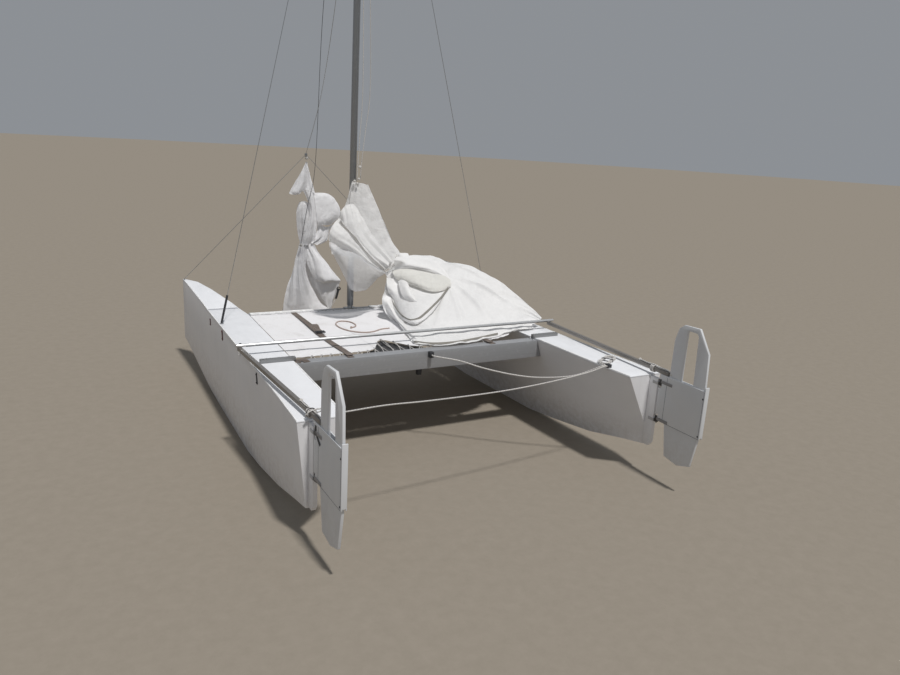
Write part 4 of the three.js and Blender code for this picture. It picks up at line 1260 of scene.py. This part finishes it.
# Panels of the hanging part of the mainsail, the same way
HUNG_PANELS = {
    "top": (46, 70, 2, 4, (0.2, 1.4), 2000, [
        [(352.5, 181.4, 125), (357.5, 182.4, 118), (363, 183.6, 108), (368.1, 185, 100)],
        [(351, 192, 130), (358, 192.6, 112), (366, 193.4, 98), (372.3, 194, 100)],
        [(349.6, 205, 130), (360, 207.5, 104), (370.5, 209.5, 86), (378.8, 209.5, 98)],
        [(351, 219, 126), (363, 224, 96), (376, 228.5, 76), (386, 228.4, 94)],
        [(359, 236.5, 110), (371, 241.5, 86), (383.5, 244, 70), (392.7, 242.4, 84)],
        [(374.5, 256.5, 76), (382.5, 258.5, 60), (391.5, 257.5, 50), (399.6, 252.4, 56)],
        [(385.5, 269.5, 46), (389.5, 269, 34), (394, 266.5, 30), (398.6, 261.5, 36)],
    ]),
    "upper_fold": (54, 80, 2.6, 13, (0.45, 1.1), 2000, [
        [(353.2, 204.2, 100), (349.5, 204, 70), (344.5, 206.5, 50), (341, 211.5, 56), (338.8, 217.6, 96)],
        [(358.2, 211, 100), (354, 213.5, 42), (349, 217.5, 20), (344.5, 222, 36), (342, 225.5, 96)],
        [(365.6, 222.6, 94), (361, 226.5, 26), (356, 231, 6), (351.5, 235, 26), (349, 237, 90)],
        [(374.6, 236.8, 84), (370.5, 240, 22), (366, 244.5, 2), (361.5, 248, 22), (359, 249, 76)],
        [(384, 250.6, 66), (380.5, 253, 18), (376, 257, 0), (372.5, 260, 16), (370.4, 260.6, 58)],
        [(392, 261, 44), (390, 263, 16), (387.5, 265.8, 6), (385.5, 268.5, 14), (384.6, 270.2, 40)],
    ]),
    "lower_fold": (46, 80, 1.8, 9, (0.4, 1.2), 1700, [
        [(339.4, 218.4, 180), (335.5, 221.5, 140), (331.5, 227.5, 120), (329, 234, 126),
         (328.6, 240.5, 170)],
        [(344.4, 225.2, 180), (341, 229, 112), (338, 234.5, 92), (336, 240.5, 106), (335.8, 245.6, 170)],
        [(351.6, 233.8, 174), (348.5, 237.5, 104), (346.5, 242.5, 84), (345.5, 247, 98), (346, 250.6, 166)],
        [(361.4, 245.4, 201), (359.5, 248.5, 137), (358, 252, 114), (357.5, 255, 124), (358, 257.4, 182)],
        [(372.2, 257.8, 236), (370.8, 260, 190), (370, 262.5, 175), (369.8, 264.4, 184), (370.4, 266, 226)],
        [(384.6, 269.4, 272), (384, 270.4, 252), (383.6, 271.4, 244), (383.6, 272.2, 248),
         (384.2, 273, 270)],
    ]),
    "bag": (70, 60, 2, 10, (0.9, 0.35), 1700, [
        [(329, 241.6, 116), (341, 246.6, 104), (353, 252.4, 98), (364, 258.6, 139), (374, 265.6, 174),
         (384.6, 272.2, 210)],
        [(329.6, 247, 104), (341.5, 252, 46), (353.5, 257.6, 37), (364.5, 263.6, 91), (374.6, 269.4, 149),
         (384.8, 273, 206)],
        [(333.4, 256, 104), (344, 260.5, 22), (355, 265.5, 13), (365.5, 269.5, 69), (375, 272.8, 139),
         (383.8, 274.4, 203)],
        [(338.6, 265.5, 110), (347, 270, 16), (356.5, 274, 10), (366, 276, 65), (374, 276.6, 130),
         (381, 276.4, 193)],
        [(344.4, 278, 116), (350.5, 281, 30), (358, 283.5, 30), (365.5, 283.2, 77), (372, 281, 131),
         (377.6, 278.6, 184)],
        [(348.8, 288, 124), (353.5, 289.4, 67), (359, 290.2, 75), (364.8, 289.2, 110), (369.6, 286.6, 147),
         (373.4, 283.4, 180)],
        [(351.4, 290.8, 144), (355.5, 291.6, 121), (360, 291.8, 131), (364.8, 290.6, 156),
         (368.8, 288.2, 179), (372, 285.4, 199)],
    ]),
    "between": (60, 24, 2, 6, (0.6, 0.6), 1800, [
        [(339.4, 218.4, 20), (344.4, 225.2, 20), (351.6, 233.8, 14), (361.4, 245.4, 41), (372.2, 257.8, 76),
         (384.6, 269.4, 112)],
        [(341, 222, 170), (346.5, 229, 170), (353.5, 237, 165), (362.5, 247, 170), (372.6, 258.5, 160),
         (384.6, 269.8, 135)],
        [(341.5, 221, 320), (346.5, 227, 325), (353.5, 235, 325), (362.5, 245.5, 310), (372.6, 257.5, 250),
         (384.6, 269.6, 160)],
    ]),
    "back": (50, 60, 3, 10, (1, 0.8), 2000, [
        [(352.5, 181.4, 130), (357.5, 182.4, 126), (363, 183.6, 120), (368.1, 185, 106)],
        [(345, 205, 140), (356, 207.5, 146), (368.5, 209.5, 140), (378.6, 209.5, 106)],
        [(332, 232, 120), (350, 236, 148), (372, 240.5, 146), (391.5, 240.4, 100)],
        [(332, 254, 100), (350, 257, 146), (372, 260.5, 140), (394, 258, 76)],
    ]),
}


# The black clip at the jib's clew: photo x, photo y and distance forward; and its tail
JIB_CLIP = [(338.6, 288.6, 3.238), (337.4, 293.4, 3.234), (335.9, 298.6, 3.23)]
JIB_TAIL = [(335.9, 298.6, 3.23), (333.6, 302.8, 3.228), (331.7, 305.8, 3.226), (330.8, 309, 3.224)]


def add_jib_clip():
    maker = Builder()
    line = smooth_line(sights(JIB_CLIP), 0.004)
    maker.tube(line, 0.01, sides=10)
    maker.ring(line[0], Vector((0.3, 0.9, 0.2)), 0.016, 0.004)
    maker.piece("jib_clip", "black")
    tail = Builder()
    tail.rope(sights(JIB_TAIL), 0.01, 0.0035)
    tail.piece("jib_tail", "rope")


# The tied neck between the hanging part and the heap, the same way
NECK_PANELS = {
    "neck": (34, 30, 3, 6, (0.8, 0.8), 1900, [
        [(397.5, 253, 120), (399.5, 261, 85), (393.5, 268, 60), (384, 272.5, 30)],
        [(401.5, 252.8, 100), (403.5, 261.5, 45), (398.5, 270, 15), (387.5, 277, 15)],
        [(408, 253.4, 90), (410, 262.5, 25), (405, 272.5, 0), (392.5, 281.5, 0)],
    ]),
}
# The rope tie round the neck: photo x, photo y and distance forward
NECK_TIE = [(396.6, 254.6, 2), (397, 258.5, 1.962), (394, 263, 1.938), (389.5, 267.5, 1.926),
    (384.8, 271, 1.92), (382.6, 272.6, 1.93)]


# The heap's base in the deck frame: the same columns, with rows of (x, y, z) from the ridge down to the hem
HEAP_BASE = (120, 96, 5, 10, (0.8, 0.5), [
    [(215, 2000, 300), (262, 1990, 384), (400, 1985, 440), (560, 1950, 428), (670, 1860, 398),
     (790, 1680, 378), (885, 1520, 318), (988, 1335, 215), (1112, 1196, 74)],
    [(185, 1960, 230), (235, 1930, 320), (350, 1880, 370), (500, 1830, 375), (620, 1740, 360),
     (750, 1590, 330), (853, 1450, 264), (966, 1305, 172), (1100, 1188, 62)],
    [(175, 1900, 140), (215, 1830, 220), (310, 1750, 265), (450, 1670, 280), (580, 1580, 265),
     (715, 1470, 235), (828, 1365, 190), (946, 1262, 128), (1086, 1184, 52)],
    [(130, 1740, 60), (180, 1650, 120), (270, 1560, 165), (410, 1480, 180), (550, 1400, 168),
     (690, 1320, 145), (806, 1262, 118), (925, 1216, 86), (1070, 1180, 46)],
    [(70, 1480, 22), (130, 1400, 60), (230, 1330, 88), (380, 1280, 96), (530, 1240, 88), (680, 1210, 78),
     (800, 1196, 66), (916, 1186, 54), (1056, 1177, 42)],
    [(22, 1240, 12), (80, 1200, 28), (200, 1178, 36), (360, 1170, 36), (520, 1168, 34), (670, 1168, 32),
     (790, 1170, 30), (905, 1172, 32), (1014, 1172, 34)],
    [(-8, 1130, 8), (45, 1090, 16), (175, 1070, 18), (350, 1062, 16), (510, 1066, 18), (660, 1088, 16),
     (785, 1110, 14), (900, 1125, 18), (1008, 1130, 16)],
    [(-18, 1074, 6), (30, 1004, 9), (170, 962, 6), (330, 962, 10), (480, 1004, 6), (640, 1052, 12),
     (775, 1120, 14), (890, 1175, 16), (990, 1172, 14)],
])
# Distances forward at which a ray is aimed at the heap, and where one that misses it looks for the ridge
HEAP_Y = 1.5
RIDGE_Y = 1.75
# The back falls from the ridge: share of the ridge's height, and how far forward. It stays behind the front
# beam and above the trampoline
BACK_LIMIT = 2.14
BACK_LOW = 0.008
HEAP_BACK = (96, 50, 5, 8, (0.2, 0.8))
BACK_FALL = [(0.985, 0.004), (0.72, 0.05), (0.32, 0.085), (0.03, 0.095)]
# Layers folded over the base, the same way: photo x, photo y and how far the layer stands off it
HEAP_LAYERS = {
    "lobe": (44, 64, 1.4, 6, (0.7, 0.3), 0, [
        [(386, 290, 20), (390, 292, 34), (395, 297, 40), (401, 303, 22)],
        [(381.8, 299.5, 16), (387.5, 302, 40), (394.5, 309, 46), (402, 317, 22)],
        [(383.4, 308.5, 12), (389.5, 311.5, 36), (397, 318.5, 40), (406, 325.5, 18)],
        [(388.6, 317.4, 8), (395, 320.5, 28), (403, 326.5, 30), (413, 331.5, 12)],
        [(399.4, 330.2, 6), (404, 331.5, 18), (410.5, 334.5, 18), (420, 337, 8)],
        [(409, 340, 4), (412.5, 340.5, 8), (418, 341, 8), (427, 341.5, 4)],
    ]),
    "pocket": (70, 64, 1, 5, (0.4, 0.6), 0, [
        [(386.4, 277.5, 30), (396, 279.5, 50), (409, 284.5, 60), (424, 290, 55), (438, 290, 45),
         (450, 281.5, 24)],
        [(387.2, 287, 34), (397, 291, 66), (410, 295, 82), (424, 298.5, 78), (436.5, 297, 60),
         (447.5, 289, 28)],
        [(389.8, 298, 36), (399, 301.5, 72), (410.5, 305, 90), (422.5, 306.5, 84), (433.5, 303.5, 62),
         (443, 296.5, 30)],
        [(394.6, 309.5, 34), (402.5, 312.5, 66), (412, 314.5, 80), (421.5, 314.5, 72), (430, 311.5, 52),
         (437.5, 305.5, 28)],
        [(401.2, 318.6, 26), (407, 320.5, 48), (413.5, 321.5, 56), (420, 320.8, 48), (426, 318.2, 36),
         (431, 314, 22)],
        [(409.2, 323.6, 14), (412.4, 324.2, 20), (415.8, 324.2, 22), (419.2, 323.4, 20), (422.4, 321.6, 16),
         (425, 319.4, 12)],
    ]),
    "roll": (70, 30, 1, 4, (0.5, 0.5), 0, [
        [(392, 270.5, 60), (404, 268.5, 78), (418, 270.2, 82), (433, 273, 72), (444, 275.5, 56),
         (450.5, 280, 34)],
        [(393, 273.5, 84), (405, 273.5, 112), (418.5, 276, 120), (433, 279, 106), (443.5, 280.5, 78),
         (450.6, 282, 44)],
        [(394.6, 276.6, 84), (406, 279.5, 116), (418.5, 283, 124), (432, 286.5, 112), (443, 286, 82),
         (451, 284, 44)],
        [(397, 279.2, 60), (408, 284, 84), (419, 287.6, 92), (431.5, 291.4, 84), (442.5, 290.6, 62),
         (451, 286, 34)],
    ]),
    "upper_roll": (70, 30, 1.6, 5, (0.6, 0.6), 0, [
        [(396.5, 256.5, 34), (409, 256.5, 40), (422, 257.5, 40), (434, 261, 34), (443, 268, 26),
         (449, 276.5, 16)],
        [(394.5, 261, 58), (408, 260.5, 74), (422, 262, 74), (434.5, 266, 60), (443, 272, 42),
         (449.4, 278.5, 22)],
        [(394, 266, 56), (408, 264.6, 72), (422, 266.4, 72), (434.5, 270, 60), (443, 275, 42),
         (449.6, 280, 24)],
        [(394.6, 269.6, 34), (408, 267.6, 44), (422, 269.6, 46), (434.5, 273, 40), (443, 277, 28),
         (449.8, 281, 18)],
    ]),
    "knob": (28, 26, 1, 3, (0.4, 0.4), 0, [
        [(398, 281, 90), (401.5, 279, 98), (405.5, 280, 98), (408, 283, 90)],
        [(399.5, 288, 104), (404, 286.5, 126), (409, 289.5, 126), (412.5, 293, 104)],
        [(402, 295.5, 104), (407, 295, 128), (412, 297, 126), (415.5, 299.5, 102)],
        [(406, 300.5, 86), (410, 301, 94), (413.5, 301.5, 92), (417, 302, 84)],
    ]),
}
# Stitched bands on the heap, dark tape whose colour is partly painted shade under the hems: width, and photo
# x, photo y and height off the base
HEAP_BANDS = [
    (16, [(448.6, 287, 44), (441.5, 297, 48), (434, 305, 62), (426, 312.5, 70), (419, 318.2, 66),
     (411.5, 320.2, 62), (403, 316.4, 62), (395.5, 307.5, 62), (390, 296, 58)]),
    (14, [(414, 341.6, 16), (430, 343.4, 14), (452, 342.4, 14), (474, 338.8, 14), (498, 333.6, 12)]),
]
# Creases on the fan, as raised folds: half width, and photo x, photo y and height
FAN_FOLDS = [
    (20, [(450, 281, 6), (461, 288, 16), (473, 299, 18), (485, 313, 10), (492, 322, 2)]),
    (16, [(449, 286, 6), (454, 298, 14), (459, 312, 12), (462, 326, 2)]),
    (18, [(451, 278.5, 6), (468, 280, 14), (487, 288, 16), (504, 299, 10), (520, 310, 2)]),
    (14, [(446, 290, 6), (442, 304, 14), (438, 318, 12), (434, 332, 2)]),
    (12, [(440, 262, 4), (455, 266, 12), (473, 272, 12), (490, 282, 3)]),
]


def heap_caster(grid):
    """A finder of places on the heap's base: a photo pixel and a distance off it towards the camera."""
    down, across = grid.shape[:2]
    tree = BVHTree.FromPolygons([Vector(p) for p in grid.reshape(-1, 3)], quads(down, across))
    eye = at(*CAMERA)

    def place(px, py, off):
        ray = (seen(px, py, HEAP_Y) - eye).normalized()
        hit = tree.ray_cast(eye, ray)[0]
        if hit is None:
            hit = tree.find_nearest(seen(px, py, RIDGE_Y))[0]
            hit = eye + ray * (hit - eye).dot(ray)
        return hit - ray * off

    return place


def bend_base(grid, place):
    """Raises the fan's folds out of the base along their lines."""
    out = grid.copy()
    n = normals_of(grid)
    for half, route in FAN_FOLDS:
        line = smooth_line([place(px, py, 0.0) for px, py, lift in route], 0.012)
        heights = [lift / MM for px, py, lift in route]
        lifts = np.interp(np.linspace(0, 1, len(line)), np.linspace(0, 1, len(route)), heights)
        gaps = np.linalg.norm(grid[:, :, None, :] - array_of([line])[0][None, None, :, :], axis=3)
        share = np.exp(-(gaps.min(axis=2) / (half / MM)) ** 2) * lifts[gaps.argmin(axis=2)]
        out += n * share[:, :, None] * np.sign(n[:, :, 2:3])
    return out


# Panels that aren't plain sailcloth: the see-through bag, darker as painted shade, and the roll, darker and
# browner as painted shade of its underside
PANEL_LOOKS = {"bag": "sail_film_painted_shade", "roll": "sail_roll_painted_shade"}


def add_panels(makers, group, tables, to_point):
    for i, (name, (across, down, folds, depth, ends, base, rows)) in enumerate(tables.items()):
        points = [[to_point(px, py, (base + off) / MM) for px, py, off in row] for row in rows]
        grid = grid_surface(points, across, down)
        grid = ripple(grid, SEEDS[group] + i, folds, depth / MM, ends, CREASES[group])
        panel(makers[PANEL_LOOKS.get(name, "sail")], grid, (1.0, 1.0))


# The folds' seeds and how far small creases stand out
SEEDS = {"jib": 3, "hung": 21, "neck": 31, "heap": 41, "back": 44, "layers": 60}
CREASES = {"jib": 0.01, "hung": 0.01, "neck": 0.01, "heap": 0.008, "back": 0.006, "layers": 0.006}


def add_heap(makers):
    """The heap: its base with raised folds, its back, and the layers folded over it."""
    across, down, folds, depth, ends, rows = HEAP_BASE
    rows = [[(x / MM, y / MM, z / MM) for x, y, z in row] for row in rows]
    base = grid_surface([places(row) for row in rows], across, down)
    place = heap_caster(base)
    shaped = ripple(bend_base(base, place), SEEDS["heap"], folds, depth / MM, ends, CREASES["heap"])
    panel(makers["sail"], shaped, (1.0, 1.0))
    across, down, folds, depth, ends = HEAP_BACK
    fallen = [places([(x, min(y + ahead, BACK_LIMIT), max(z * share, BACK_LOW)) for x, y, z in rows[0]])
              for share, ahead in BACK_FALL]
    back = grid_surface(fallen, across, down)
    back = ripple(back, SEEDS["back"], folds, depth / MM, ends, CREASES["back"])
    panel(makers["sail"], back, (1.0, 1.0))
    add_panels(makers, "layers", HEAP_LAYERS, place)
    return place


def make_jib():
    makers = {"sail": Builder()}
    add_panels(makers, "jib", JIB_PANELS, seen)
    jib = makers["sail"].piece("jib_cloth", "jib_sail")
    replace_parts(jib, "jib")
    add_jib_clip()


def make_bands(place):
    maker = Builder()
    for width, route in HEAP_BANDS:
        line = smooth_line([place(px, py, off / MM) for px, py, off in route], 0.012)
        side = (line[-1] - line[0]).cross(at(*CAMERA) - line[len(line) // 2]).normalized()
        maker.ribbon(line, width / MM, 0.0012, side)
    return maker.piece("mainsail_tape_and_hem_shade", "band")


def make_mainsail():
    makers = {look: Builder() for look in ("sail", "sail_film_painted_shade", "sail_roll_painted_shade")}
    add_panels(makers, "hung", HUNG_PANELS, seen)
    add_panels(makers, "neck", NECK_PANELS, seen)
    place = add_heap(makers)
    names = ("mainsail_cloth", "mainsail_film_painted_shade", "mainsail_roll_painted_shade")
    sail, film_painted_shade, roll_painted_shade = [maker.piece(name, look) for name, (look, maker) in zip(names, makers.items())]
    bands = make_bands(place)
    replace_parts(sail, "mainsail_hung", "mainsail_heap", "mainsail_fold")
    tie = Builder()
    for shift in (0.0, 1.6):
        route = [(px + shift, py + shift * 0.6, y - 0.012) for px, py, y in NECK_TIE]
        tie.rope(sights(route), 0.008, 0.0032, sides=7)
    knot(tie, seen(396.6, 257.5, 1.955), 0.012, 0.004)
    tie.piece("neck_tie", "rope")


make_camera()
LOOKS = make_finishes()
make_cords()
make_stage()
make_skins()
make_trampoline()
make_lacing()
make_gap_shade()
make_straps()
make_beam_webbing()
make_fittings()
make_hull_marks()
make_rudder_lines()
make_tiller_strap()
make_lines()
make_jib()
make_mainsail()
